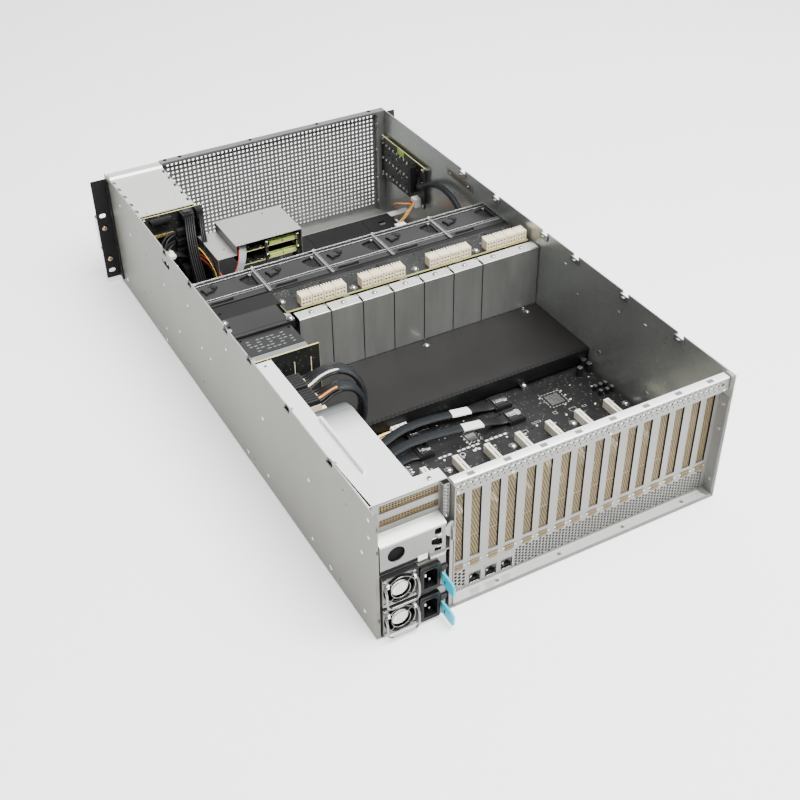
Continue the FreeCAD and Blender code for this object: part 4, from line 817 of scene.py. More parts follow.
for k, z in enumerate((133.0, 114.5)):
    mb.box(33.5, 118.0, -228, -164, z, z + 1.6, "pcb_green" if k == 5 else "pcb_black")
    mb.box(33.5, 118.0, -164.0, -163.7, z + 0.1, z + 1.5, "pcb_edge")
    mb.box(117.9, 118.25, -228, -164, z + 0.1, z + 1.5, "pcb_edge")
    for a, b in ((35.0, 56.5), (57.5, 76.0)):
        mb.box(a, b, -172.0, -164.0, z + 1.6, z + 5.4, "sock_green")
        # dark line paints the shade in the socket's slot
        mb.box(a + 0.7, b - 0.7, -168.6, -167.4, z + 5.2, z + 5.5, "painted_shade_black")
        mb.box(a + 1.2, b - 1.2, -164.2, -163.8, z + 1.8, z + 2.5, "pcb_edge")
    mb.box(84, 97, -180, -168, z + 1.6, z + 4.5, "black_abs")
    mb.box(101, 111, -186, -176, z + 1.6, z + 3.6, "grey_abs")
    for i in range(14):
        x, y = 80 + random.random() * 34, -176 + random.random() * 11
        mb.box(x, x + 1.6, y, y + 0.9, z + 1.6, z + 2.3, random.choice(("ivory", "grey_abs", "gold_pad")))
    for x in (36.5, 81.0):
        mb.cyl("z", (x, -161.8), 1.9, z - 10 if k else z - 14, z + 9, "nickel", 6)
        mb.lathe("z", (x, -161.8), [(2.4, z + 9), (2.4, z + 10), (1.4, z + 10.8), (0, z + 10.8)], "nickel", 16)
        mb.box(x - 2.4, x + 2.4, -165.5, -160, z + 0.2, z + 1.4, "pcb_black")
mb.make("riser_hood_detail", bevel=0.15, replaces=["riser_box"])

# grey flat cable with a red edge wire, and loose coloured leads below the hood
mb = MB()
rib = smooth_line([(104, -196, 142), (109, -178, 143), (114, -164, 140), (118, -157.5, 130), (122, -155.5, 120), (128, -155, 110), (133, -155.5, 98), (136, -157, 82), (136.5, -158.5, 66)], 7)
for j in range(12):
    w = (j - 5.5) * 1.12
    mb.tube([(p[0] + w * 0.88, p[1] + w * 0.30, p[2] + w * 0.34) for p in rib], 0.62, "wire_red" if j == 11 else "ribbon_grey", 6)
mb.box(129, 144, -163, -155, 58.4, 66.5, "black_abs")
mb.make("riser_flat_cable", angle=60)
mb = MB()
for j in range(3):
    mb.tube(smooth_line([(163 + j, -246, 118 - j), (160 + j, -230, 130 - j), (156.5 + j, -206, 136 - 1.2 * j), (155 + 0.8 * j, -184, 133 - 1.6 * j), (154 + 0.5 * j, -172, 126 - 1.4 * j), (151 + j, -165, 112), (150 + j, -162, 92)], 6), 0.75, "wire_yellow" if j == 2 else "wire_black", 7)
for j in range(6):
    mb.tube(smooth_line([(162 + j, -246, 104), (159 + j, -228, 118), (155 + 0.8 * j, -200, 124 - j), (150 + 1.1 * j, -178, 123 - 1.4 * j), (146 + 1.6 * j, -166, 115 - 1.2 * j), (141 + 2.2 * j, -159, 100 - 2 * j), (137 + 2 * j, -156, 84), (137 + 2 * j, -158, 64)], 6), 0.75, "wire_red" if j in (1, 4) else "wire_black", 7)
for j in range(9):
    mb.tube(smooth_line([(158 + j * 2, -240, 60 + 4 * (j % 3)), (156 + 1.5 * j, -222, 96 - 3 * j), (151 + 2.4 * j, -200, 104 - 4 * j), (146 + 3 * j, -178 + j, 98 - 5 * j), (142 + 4 * j, -164, 80 - 2 * j), (140 + 4 * j, -156, 62)], 6), 1.1, "wire_black", 7)
for j in range(3):
    mb.prism([(170 + 12 * j, 92 - 6 * j), (180 + 12 * j, 94 - 6 * j), (181 + 12 * j, 108 - 6 * j), (172 + 12 * j, 106 - 6 * j)], "y", -222 + 4 * j, -206 + 4 * j, "black_abs")
mb.make("loose_leads", angle=60)

# ================================================================ air shroud with its ribs, tabs and the front sill plate
mb = MB()
mb.plate([(-166, -287), (129.2, -287), (129.2, -244), (218, -244), (218, -104.6), (-166, -104.6)], [rect2(-150, -140, -268, -258), moved(ring(14, 2.2), 10, -276)], "z", 57.2, 58.2, "black_film")
mb.box(-166, -164.8, -287, -104.6, 12, 57.3, "black_film")
mb.prism([(-287.0, 57.2), (-287.0, 44.0), (-286.0, 44.0), (-286.0, 57.2)], "x", -164.8, 128, "black_film")
for x in (-120, -30, 60):
    mb.box(x, x + 0.9, -284, -108, 58.2, 58.7, "black_film")
mb.box(-166, 218, -110.5, -109.7, 58.2, 58.8, "black_film")
mb.make("shroud_detail", bevel=0.15, replaces=["air_shroud"])
mb = MB()
mb.box(-168, -152, -238, -227, 58.2, 66.5, "white_abs")
mb.box(-166.5, -153.5, -236.8, -228.2, 66.4, 66.9, "ivory")
for j in range(6):
    mb.box(-165.8 + j * 2.2, -164.6 + j * 2.2, -239.2, -237.8, 60, 64.5, "gold_pad")
for j in range(5):
    mb.tube(smooth_line([(-158 - j, -238, 62), (-166 - j, -246, 64), (-178 - j, -258, 60), (-194, -268 + j, 66), (-202, -268, 74)], 6), 0.9,
            ("wire_orange", "wire_yellow", "wire_black", "wire_black", "wire_orange")[j], 7)
mb.make("shroud_plug", bevel=0.25)
mb = MB()
mb.box(-206.8, 139, -388, -300, 5.0, 6.2, "galv_rear")
for x in (-180, -120, -60, 0, 60, 110):
    mb.box(x - 6, x + 6, -302, -299.2, 6.2, 12.0, "galv_rear")
mb.plate(rect2(-206, 132, -300.5, -288.0), [moved(ring(10, 1.6), x, -294) for x in (-170, -90, -10, 70)], "z", 49.0, 50.2, "galv_top_lit")
mb.make("front_sill", bevel=0.15)

# ================================================================ board on the left wall
mb = MB()
hl = [moved(ring(12, 2.0), y, z) for y, z in ((-380, 122), (-362, 110), (-340, 92), (-318, 74), (-352, 78), (-306, 120), (-280, 124))]
mb.plate(rect2(-387.4, -254, 66, 133, 1.5), hl, "x", -214.6, -212.6, "pcb_black")
mb.box(-214.4, -212.8, -387.4, -254, 132.9, 133.3, "pcb_edge")
k = 0
for y in range(-384, -300, 11):
    for z in range(74, 130, 12):
        k += 1
        if (k * 7) % 5 < 3:
            mb.lathe("x", (y + (z % 3), z), [(2.1, -212.6), (2.1, -211.6), (1.4, -210.8), (0.6, -210.8), (0, -211.2)], "nickel", 12)
mb.box(-212.6, -203.0, -290, -279, 84, 126, "black_abs")
mb.box(-203.2, -202.6, -288, -281, 87, 123, "grey_abs")
# dark lines paint the shade in the header's openings
for j in range(9):
    mb.box(-202.9, -202.4, -286.6, -282.4, 89 + 3.6 * j, 90.6 + 3.6 * j, "painted_shade_black")
mb.box(-212.6, -202.0, -277, -265, 66.5, 80.0, "white_abs")
mb.box(-202.2, -201.7, -275.5, -266.5, 68.5, 78.0, "ivory")
mb.prism(rect2(-336, -317, 124.0, 132.5, 0.8), "x", -212.6, -212.0, "lime")
mb.box(-212.6, -209.5, -272, -262, 100, 112, "black_abs")
for i in range(34):
    y, z = -385 + random.random() * 125, 68 + random.random() * 60
    mb.box(-212.6, -211.6, y, y + random.choice((1.0, 2.2)), z, z + random.choice((0.9, 1.8)), random.choice(("ivory", "grey_abs", "nickel")))
for y, z in ((-383, 70), (-383, 129), (-258, 70), (-258, 129)):
    mb.cyl("x", (y, z), 2.8, -218.8, -214.6, "nickel", 6)
    mb.lathe("x", (y, z), [(2.8, -212.6), (2.8, -211.8), (1.9, -211.0), (0, -211.0)], "nickel", 16)
mb.make("wall_board_detail", bevel=0.15, replaces=["wall_board"])
mb = MB()
for j in range(4):
    mb.tube(smooth_line([(-204, -271, 70 + 2 * j), (-196 - j, -276, 70), (-188 - j, -292, 66), (-190, -310, 56 - j), (-196, -322, 36), (-200 + j, -326, 14)], 7), 1.0,
            ("wire_orange", "wire_orange", "wire_black", "wire_red")[j], 7)
mb.box(-207, -193, -333, -322, 5.0, 14.5, "white_abs")
mb.make("wall_board_leads", angle=60)
mb = MB()
line = smooth_line([(-207, -262, 104), (-207, -256, 104), (-206.5, -244, 112), (-207.5, -228, 122), (-209, -206, 128), (-208, -183, 130), (-207, -160, 126), (-206, -141, 117),
                    (-205.5, -126, 104), (-205, -116, 89), (-205, -111, 72)], 8)
mb.tube(line, 4.3, "sleeve", 14)
mb.make("wall_board_cable_sleeve", replaces=["wall_board_cable"], angle=60)

# ================================================================ fans
for k in range(5):
    n = k + 1
    xc = 212.9 - 86.3 * k - 43.15
    mb = MB()
    x0, x1, y0, y1, zt = xc - 42.05, xc + 42.05, -101.6, -47.6, 145.0
    # housing with a real round duct
    duct = moved(ring(40, 39.5), xc, 101.9)
    mb.plate(rect2(x0, x1, 58.8, 141.6, 2.0), [duct], "y", y0, y1, "black_abs")
    # top deck: raised front part, lower rear strip, a pull recess and a latch
    deck = [(x0 + 1.2, -96.0), (x1 - 1.2, -96.0), (x1 - 1.2, -63.0), (x0 + 1.2, -63.0)]
    recess = [(xc - 37.5, -95.0), (xc - 20.0, -90.0), (xc - 19.0, -85.5), (xc - 24.5, -69.0), (xc - 37.0, -65.5)]
    dia = [(xc + 20.0, -95.2), (xc + 35.0, -88.5), (xc + 34.0, -71.5), (xc + 20.0, -76.0), (xc + 10.5, -84.5)]
    mb.plate(deck, [recess], "z", 143.2, 144.6, "grey_abs")
    mb.box(x0 + 1.2, x1 - 1.2, -96.0, -63.0, 141.6, 142.0, "black_abs")
    mb.box(x0, x1, -101.6, -99.2, 141.6, 145.0, "black_abs")
    mb.box(x0 + 0.6, x1 - 0.6, -98.6, -97.6, 143.6, 145.2, "nickel")
    mb.box(x0 + 0.6, x1 - 0.6, -62.6, -61.5, 143.4, 145.0, "nickel")
    mb.box(x0 + 0.6, x1 - 0.6, -59.8, -58.9, 142.8, 144.2, "mid_abs")
    mb.plate([(x0 + 1.0, -58.0), (x1 - 1.0, -58.0), (x1 - 1.0, -48.0), (x0 + 1.0, -48.0)],
             [[(xc + 2.0, -56.5), (xc + 14.0, -55.0), (xc + 30.0, -56.0), (xc + 36.0, -50.5), (xc + 4.0, -50.0)]], "z", 141.6, 143.4, "grey_abs")
    # grey finger tab: a four-cornered pad with drawn-in sides
    tab = []
    corners = [(xc + 19.5, -88.5), (xc + 33.0, -86.5), (xc + 30.5, -73.5), (xc + 17.5, -77.5)]
    for i in range(4):
        a, b = corners[i], corners[(i + 1) % 4]
        cx, cy = xc + 25.2, -81.4
        for t in (0.0, 0.33, 0.66):
            px, py = a[0] + (b[0] - a[0]) * t, a[1] + (b[1] - a[1]) * t
            pull = 0.16 if 0 < t < 1 and t > 0.1 else 0.0
            tab.append((px + (cx - px) * pull, py + (cy - py) * pull))
    mb.prism(tab, "z", 144.0, 146.8, "black_abs")
    mb.box(xc + 21.0, xc + 30.0, -86.0, -78.6, 146.7, 147.0, "grey_abs")
    # hatched catch beside it
    cdia = [(xc + 11.0, -85.0), (xc + 17.0, -93.5), (xc + 22.0, -89.5), (xc + 16.4, -80.0)]
    mb.prism(cdia, "z", 142.0, 146.6, "black_abs")
    for j in range(4):
        t = 0.16 + 0.22 * j
        a = (cdia[0][0] + (cdia[1][0] - cdia[0][0]) * t, cdia[0][1] + (cdia[1][1] - cdia[0][1]) * t)
        b = (cdia[3][0] + (cdia[2][0] - cdia[3][0]) * t, cdia[3][1] + (cdia[2][1] - cdia[3][1]) * t)
        d = Vector((b[0] - a[0], b[1] - a[1], 0)).normalized()
        nn = Vector((-d.y, d.x, 0)) * 0.55
        mb.prism([(a[0] + nn.x, a[1] + nn.y), (b[0] + nn.x, b[1] + nn.y), (b[0] - nn.x, b[1] - nn.y), (a[0] - nn.x, a[1] - nn.y)], "z", 146.4, 147.2, "grey_abs")
    # curved ribs in the recess
    for j in range(5):
        rr = 9.0 + 3.4 * j
        arc = [(xc - 40.0 + rr * math.cos(math.radians(t)), -66.0 + rr * math.sin(math.radians(t)) * -1.0, 143.2) for t in range(14, 80, 8)]
        arc = [p for p in arc if p[0] < xc - 20.5 and p[1] > -93.5]
        if len(arc) > 2:
            mb.tube(arc, 0.55, "grey_abs", 6)
    mb.lathe("z", (xc - 34.5, -91.0), [(2.3, 143.2), (2.3, 145.2), (1.6, 146.3), (0, 146.6)], "bright", 18)
    # stator arms and carrier in the duct
    mb.cyl("y", (xc, 101.9), 17.0, -56.6, -50.6, "black_abs", 28)
    for j in range(3):
        t = math.radians(-30 - 120 * j)
        d = Vector((math.cos(t), 0, math.sin(t)))
        s = Vector((-d.z, 0, d.x)) * 2.4
        p, q_ = d * 15 + Vector((xc, 0, 101.9)), d * 40.2 + Vector((xc, 0, 101.9))
        mb.prism([(p.x + s.x, p.z + s.z), (q_.x + s.x, q_.z + s.z), (q_.x - s.x, q_.z - s.z), (p.x - s.x, p.z - s.z)], "y", -55.6, -51.6, "black_abs")
    mb.make("fan_%d_housing" % n, body="fan_%d" % n, bevel=0.2, replaces=["fan_%d_frame" % n])
    # rotor: hub with swept, twisted blades
    mb = MB()
    mb.lathe("y", (xc, 101.9), [(0, -92.0), (15.0, -92.0), (17.0, -90.5), (17.0, -62.0), (0, -62.0)], "black_abs", 32)
    for j in range(7):
        a0 = 2 * math.pi * j / 7
        vs, fs = [], []
        NR, NC = 5, 4
        for side in (0, 1):
            for i in range(NR + 1):
                rr = 16.0 + (38.0 - 16.0) * i / NR
                sweep = 0.20 * (i / NR) ** 1.5
                twist = math.radians(52 - 16 * i / NR)
                for c in range(NC + 1):
                    u = (c / NC - 0.5) * 26
                    camber = 2.0 * (1 - (2 * c / NC - 1) ** 2)
                    along = u * math.cos(twist) + camber * math.sin(twist) + side * 1.2
                    y = -77.0 + u * math.sin(twist) * 0.98
                    ang = a0 + sweep + along / rr
                    vs.append((xc + rr * math.cos(ang), y, 101.9 + rr * math.sin(ang)))
        W_ = NC + 1
        S_ = (NR + 1) * W_
        for i in range(NR):
            for c in range(NC):
                p = i * W_ + c
                fs.append((p, p + 1, p + 1 + W_, p + W_))
                fs.append((S_ + p, S_ + p + W_, S_ + p + 1 + W_, S_ + p + 1))
        rim = [i * W_ for i in range(NR + 1)] + [NR * W_ + c for c in range(1, NC + 1)] + [i * W_ + NC for i in range(NR - 1, -1, -1)] + [c for c in range(NC - 1, 0, -1)]
        for p, r_ in zip(rim, rim[1:] + rim[:1]):
            fs.append((p, r_, S_ + r_, S_ + p))
        mb.add(vs, fs, "black_abs")
    mb.make("fan_%d_blades" % n, body="fan_%d_rotor" % n, replaces=["fan_%d_rotor" % n])

# small white-metal pillars in front of each divider of the fan cage
mb = MB()
for k in range(1, 5):
    x = 212.9 - 86.3 * k
    mb.lathe("z", (x - 2.0, -107.8), [(2.2, 58.2), (2.2, 141.5), (2.8, 142.0), (2.8, 143.6), (1.6, 145.2), (0, 145.4)], "nickel", 16)
    for y0_, y1_ in ((-103.2, -45.0),):
        mb.box(x - 2.1, x - 1.5, y0_, y1_, 142.6, 145.9, "nickel")
        mb.box(x + 1.5, x + 2.1, y0_, y1_, 142.6, 145.9, "nickel")
        # dark strip between the two rails paints the shade in the channel
        mb.box(x - 1.5, x + 1.5, y0_, y1_, 142.6, 143.2, "painted_shade_black")
    mb.box(x - 6, x + 6, -104.6, -103.4, 140.0, 146.2, "nickel")
mb.box(-218.0, 213.2, -104.7, -103.9, 144.8, 146.3, "nickel")
mb.make("fan_dividers_trim", bevel=0.15)

# ================================================================ band, bridge plate, power board
mb = MB()
mb.prism([(-44.0, 145.0), (-44.0, 143.8), (-37.6, 143.8), (-37.6, 129.0), (-36.4, 129.0), (-36.4, 145.0)], "x", -217.6, 130.4, "black_coat")
for x in (-160, -75, 12, 98):
    mb.prism(rect2(x - 12, x + 12, -43.0, -38.5, 1.5), "z", 145.0, 145.5, "black_coat")
mb.plate([(131, -36), (213, -36), (213, -6.4), (131, -6.4)], [moved(ring(14, 1.6), 204, -20)], "z", 148.8, 149.6, "black_film")
mb.plate([(137.5, -6.0), (213, -6.0), (213, 36), (131, 36), (131, 22), (137.5, 17)], [moved(ring(14, 1.6), 205, 12)], "z", 148.8, 150.2, "grey_abs")
mb.box(131, 213, -36, -34.8, 140, 148.9, "black_coat")
mb.box(131, 213, 34.8, 36, 140, 148.9, "black_coat")
mb.box(131, 213, -6.5, -5.6, 145, 150.2, "black_coat")
mb.prism([(131, 22), (137.5, 17), (137.5, 33), (131, 34)], "z", 150.0, 150.9, "nickel")
mb.box(131, 213, 30.0, 30.8, 150.1, 150.5, "black_coat")
mb.make("fan_band_detail", bevel=0.25, seg=2, replaces=["fan_cage_band"])

mb = MB()
drill = [moved(ring(14, 2.1), x, y) for x, y in ((126.6, -12), (36.5, 2), (-51, 2), (-141, 2))]
mb.plate(rect2(-216.5, 130.4, -36, 9.5), drill, "z", 144.0, 146.0, "pcb_black")
mb.box(-216.5, 130.4, 9.45, 9.9, 144.1, 146.0, "pcb_edge")
mb.box(130.3, 130.7, -36, 9.5, 144.1, 145.9, "pcb_edge")
for i in range(70):
    x, y = -210 + random.random() * 326, -33 + random.random() * 24
    if abs(x - 117) < 6 or abs(x - 36.5) < 6 or abs(x + 54.5) < 6:
        continue
    mb.box(x, x + random.choice((1.2, 2.0)), y, y + random.choice((0.8, 1.2)), 146, 146.6, random.choice(("grey_abs", "grey_abs", "black_abs", "nickel")))
for x in (60, -20, -100, -180):
    mb.box(x - 7, x + 7, -31, -24, 146, 147.4, "black_abs")
mb.make("power_board_detail", replaces=["power_board"])

mb = MB()
for g, gx in enumerate((48.6, -33.6, -129.8, -214.4)):
    for k in range(4):
        a = gx + 15.5 * k
        x0, x1 = a + 0.2, a + 14.7
        holes = [rect2(x0 + 1.9 + 4.2 * i, x0 + 4.3 + 4.2 * i, 147.9 + 5.2 * j, 150.6 + 5.2 * j, 0.4, 2) for i in range(3) for j in range(2)]
        mb.plate(rect2(x0, x1, 146, 159), holes, "y", 5.4, 8.5, "cream")
        mb.box(x0 + 0.3, x1 - 0.3, 5.1, 7.6, 146.4, 158.6, "pin_brown")
        mb.box(x0, x1, -3.5, 5.2, 146, 159, "cream")
        for i in range(4):
            mb.box(x0 + 0.6 + 3.7 * i, x0 + 2.4 + 3.7 * i, -5.4, 0.2, 147, 160.0, "ivory")
        for i in range(3):
            mb.box(x0 + 3.0 + 4.0 * i, x0 + 3.7 + 4.0 * i, -2.4, 8.5, 158.9, 159.5, "ivory")
        for i in range(3):
            mb.box(x0 + 2.6 + 4.2 * i, x0 + 3.6 + 4.2 * i, -6.2, -5.0, 146, 149.5, "gold_pad")
mb.make("power_plugs_detail", bevel=0.25, replaces=["power_board_connectors"])

# ================================================================ partition plates
mb = MB()
for k in range(7):
    x1 = 125 - 42.9 * k - 0.75
    x0 = x1 - (41.4 if k < 6 else 84.3)
    mb.prism([(33.2, 59.7), (33.2, 145.0), (32.6, 145.7), (31.9, 146.0), (16.5, 146.0), (16.5, 144.8), (31.4, 144.8), (32.0, 144.2), (32.0, 59.7)], "x", x0, x1, "galv_plate")
    mb.box(x0 + 0.2, x1 - 0.2, 17.0, 31.6, 145.98, 146.12, "galv_top_lit")
    mb.box(x0, x0 + 0.7, 16.5, 33.2, 146.0, 146.25, "nickel")
    # dark strips at each plate's edge paint the shade in the gap to its neighbour
    mb.box(x0 - 1.4, x0 + 0.5, 31.0, 31.8, 59.7, 144.6, "painted_shade_black")
    mb.prism([(x0 - 1.0, 24.0), (x0 + 1.4, 24.0), (x0 + 1.4, 33.0), (x0 - 1.0, 33.0)], "z", 145.4, 146.3, "painted_shade_black") if k < 6 else None
    mb.box(x0 - 1.1, x0 + 0.4, 32.4, 34.2, 59.8, 61.6, "bright")
    mb.prism(rect2(x0 + 1.2, x0 + 3.8, 17.5, 20.2), "z", 146.0, 147.0, "galv_plate")
mb.make("partition_detail", replaces=["partition_plates"])

# ================================================================ screws
mb = MB()


def dome(mb, x, y, z, r=3.9, h=3.0, mat="bright"):
    """Round-head screw on a flat washer, with a small cross recess painted as a darker metal cross of shade on the
    head.
    """
    mb.cyl("z", (x, y), r * 1.12, z, z + 0.7, "nickel", 22)
    prof = [(0, z + 0.6), (r, z + 0.6), (r, z + 1.0)]
    for k in range(1, 7):
        t = math.radians(15 * k)
        prof.append((r * math.cos(t), z + 1.0 + (h - 1.0) * math.sin(t)))
    mb.lathe("z", (x, y), prof[:-1] + [(0, z + h)], mat, 22)
    for u, v in ((r * 0.40, r * 0.10), (r * 0.10, r * 0.40)):
        mb.prism([(x - u, y - v), (x + u, y - v), (x + u, y + v), (x - u, y + v)], "z", z + h * 0.93, z + h + 0.06, "galv_dark")


for x, y in ((126.6, -12.0), (36.5, 2.0), (-51.0, 2.0), (-141.0, 2.0)):
    dome(mb, x, y, 146.0, 4.0, 3.6)
for k in range(8):
    dome(mb, 125 - 42.9 * k - 19.95, 25.0, 146.0, 3.2, 2.8)
for x, y in ((207.0, 2.0), (135.4, 31.6)):
    dome(mb, x, y, 150.0 if x > 150 else 150.8, 4.0, 3.6)
for x, y in ((42.3, 243.6), (-45.5, 243.6), (-131.6, 243.6), (-210.0, 243.6), (57.0, 130.0), (-30.0, 130.0), (-205.0, 130.0)):
    dome(mb, x, y, 34.0, 4.4, 3.2)
mb.cyl("z", (-117.2, 157.5), 3.0, 34.0, 40.0, "nickel", 6)
dome(mb, -117.2, 157.5, 40.0, 4.0, 3.2)
mb.make("screws_detail", replaces=["chassis_screws"])

# ================================================================ distribution housing, its boards and plugs
mb = MB()
hx0, hx1, hy0, hy1, hz = 138.0, 208.0, 37.0, 90.8, 147.0
top_cut = [rect2(144, 200, 84.0, 87.0, 1.2), moved(ring(14, 1.6), 203.5, 41.5), moved(ring(14, 1.6), 142.5, 41.5)]
mb.plate(rect2(hx0, hx1, hy0, hy1, 1.5), top_cut, "z", hz - 1.4, hz, "grey_abs")
mb.box(hx0, hx1, hy0, hy0 + 1.3, 1.25, hz - 1.3, "grey_abs")
mb.box(hx0, hx1, hy1 - 1.3, hy1, 1.25, hz - 1.3, "grey_abs")
side_rows = [rect2(44 + 6 * i, 47 + 6 * i, 20 + 16 * j, 30 + 16 * j, 1.2) for i in range(7) for j in range(6)]
mb.plate(rect2(hy0 + 1.3, hy1 - 1.3, 1.25, hz - 1.4), side_rows, "x", hx0, hx0 + 1.2, "grey_abs")
mb.plate(rect2(hy0 + 1.3, hy1 - 1.3, 1.25, hz - 1.4), [], "x", hx1 - 1.2, hx1, "grey_abs")
# dark block inside the housing paints the shade seen through the side openings
mb.box(hx0 + 1.3, hx1 - 1.3, hy0 + 1.4, hy1 - 1.4, 6, hz - 14, "painted_shade_black")
mb.prism(rect2(hx0 + 0.6, hx1 - 0.6, 78.0, 90.4, 0.6), "z", hz - 0.1, hz + 0.5, "mid_abs")
mb.box(hx0 + 0.6, hx1 - 0.6, 77.2, 78.1, hz - 0.1, hz + 0.9, "black_abs")
# a plain block of short printed strokes on the lid, no lettering
for i in range(9):
    for j in range(5):
        if (i * 5 + j * 3) % 7 in (0, 3):
            continue
        u, v = 146 + 6.2 * i, 46.5 + 5.6 * j
        mb.box(u, u + 3.4 + (i + j) % 2, v, v + 1.5, hz, hz + 0.08, "mid_abs")
mb.make("pdb_housing_detail", bevel=0.25, seg=2, replaces=["pdb_housing"])

mb = MB()
cut = [rect2(137.4, 140.2, 113, 135, 1.2), rect2(158.2, 161.0, 113, 135, 1.2), rect2(180.0, 182.8, 113, 135, 1.2)]
mb.plate(rect2(127.5, 213, 50, 150), cut, "y", 91.0, 93.0, "pcb_black")
mb.box(127.5, 213, 91.1, 92.9, 149.9, 150.3, "pcb_edge")
mb.box(127.2, 127.55, 91.1, 92.9, 50, 150, "pcb_edge")
for x in (138.8, 159.6, 181.4):
    mb.box(x - 0.5, x + 0.5, 92.0, 93.3, 113.6, 134.4, "cream")
for i in range(3):
    mb.cyl("y", (142 + 22 * i, 70), 6.2, 93, 108, "black_abs", 24)
    mb.lathe("y", (142 + 22 * i, 70), [(6.2, 108), (5.8, 109), (0, 109.2)], "nickel", 24)
for i in range(3):
    mb.box(146 + 20 * i, 152 + 20 * i, 93.0, 95.0, 98, 104, "black_abs")
mb.plate(rect2(112, 212, 50, 163.5), [moved(ring(14, 2.0), 118, 158), moved(ring(14, 2.0), 206, 60)], "x", 198.6, 200.6, "pcb_black")
mb.box(198.7, 200.5, 112, 212, 163.4, 163.8, "pcb_edge")
for i in range(5):
    mb.box(194.8, 198.6, 118 + 18 * i, 130 + 18 * i, 70, 92, "black_abs")
    mb.cyl("x", (124 + 18 * i, 60), 3.4, 190, 198.6, "nickel", 18)
for i in range(8):
    mb.cyl("x", (118 + 12 * i, 120), 4.2, 200.6, 209.5, "grey_abs", 20)
mb.plate(rect2(128.6, 213, 94, 213), [moved(ring(14, 2.1), 134, 100), moved(ring(14, 2.1), 208, 206)], "z", 48, 50, "pcb_black")
mb.box(128.2, 128.65, 94, 213, 48.1, 49.9, "pcb_edge")
mb.box(128.6, 213, 212.9, 213.3, 48.1, 49.9, "pcb_edge")
for sx_, sy_ in ((133, 99), (208, 99), (133, 208), (208, 208)):
    mb.cyl("z", (sx_, sy_), 3.2, 1.2, 48, "nickel", 6)
    screw(mb, sx_, sy_, 50.0, r=3.0, h=2.2)
for i in range(40):
    x, y = 131 + random.random() * 60, 98 + random.random() * 76
    w, h = random.choice(((1.6, 0.8), (0.8, 1.6), (3.0, 2.0)))
    mb.box(x, x + w, y, y + h, 50, 50.8 + random.random() * 0.6, random.choice(("ivory", "grey_abs", "nickel", "gold_pad", "black_abs")))
for i in range(3):
    mb.box(166, 180, 108 + 20 * i, 122 + 20 * i, 50, 61, "grey_abs")
    mb.box(167, 179, 109 + 20 * i, 121 + 20 * i, 61, 61.6, "ivory")
mb.box(126.5, 134, 96, 110, 50, 62, "cream")
mb.make("pdb_boards_detail", bevel=0.15, replaces=["pdb_board"])


def pin_block(mb, x0, x1, y0, y1, z0, z1, cap="grey_abs", body="cream"):
    zc = z0 + (z1 - z0) * 0.58
    mb.box(x0, x1, y0, y1, z0, zc, body)
    mb.box(x0 + 0.5, x1 - 0.5, y0 + 0.5, y1 - 0.5, zc - 0.2, z1, cap)
    n = max(2, int((y1 - y0) / 5))
    for i in range(n):
        a = y0 + 1.6 + (y1 - y0 - 3.2) * i / n
        mb.box(x0 - 0.5, x0 + 0.3, a, a + (y1 - y0 - 3.2) / n * 0.6, z0 + 0.5, zc - 0.6, body)
        mb.box(x0 + 2.0, x1 - 2.0, a + 0.4, a + (y1 - y0 - 3.2) / n * 0.55, z1 - 0.1, z1 + 0.5, "black_abs")
    for i in range(3):
        u = x0 + 2.4 + (x1 - x0 - 6) * i / 2
        mb.box(u, u + 1.6, y0 - 0.5, y0 + 0.3, z0 + 0.5, zc - 0.6, body)
    ym = (y0 + y1) / 2
    mb.box(x0 - 1.2, x0 + 0.4, ym - 2.4, ym + 2.4, z0 + 2, z1 - 2, body)



R1 = [(180.5, 165, 158), (175.5, 165, 158), (166, 165.5, 163), (148, 167, 169), (131, 172, 165), (121, 179, 152), (119, 185, 136), (122, 189, 119), (129, 190, 102), (136, 188, 84), (137.5, 187, 71), (137.5, 187, 64)]
R2 = [(180.5, 195, 158), (175.5, 195, 158), (168, 195.6, 161.5), (153, 197, 166.5), (139, 198, 162), (130, 200, 149), (127.5, 202, 133), (131, 203, 115), (139, 202.5, 97), (150, 200.5, 82), (156, 199, 71), (156, 199, 64)]


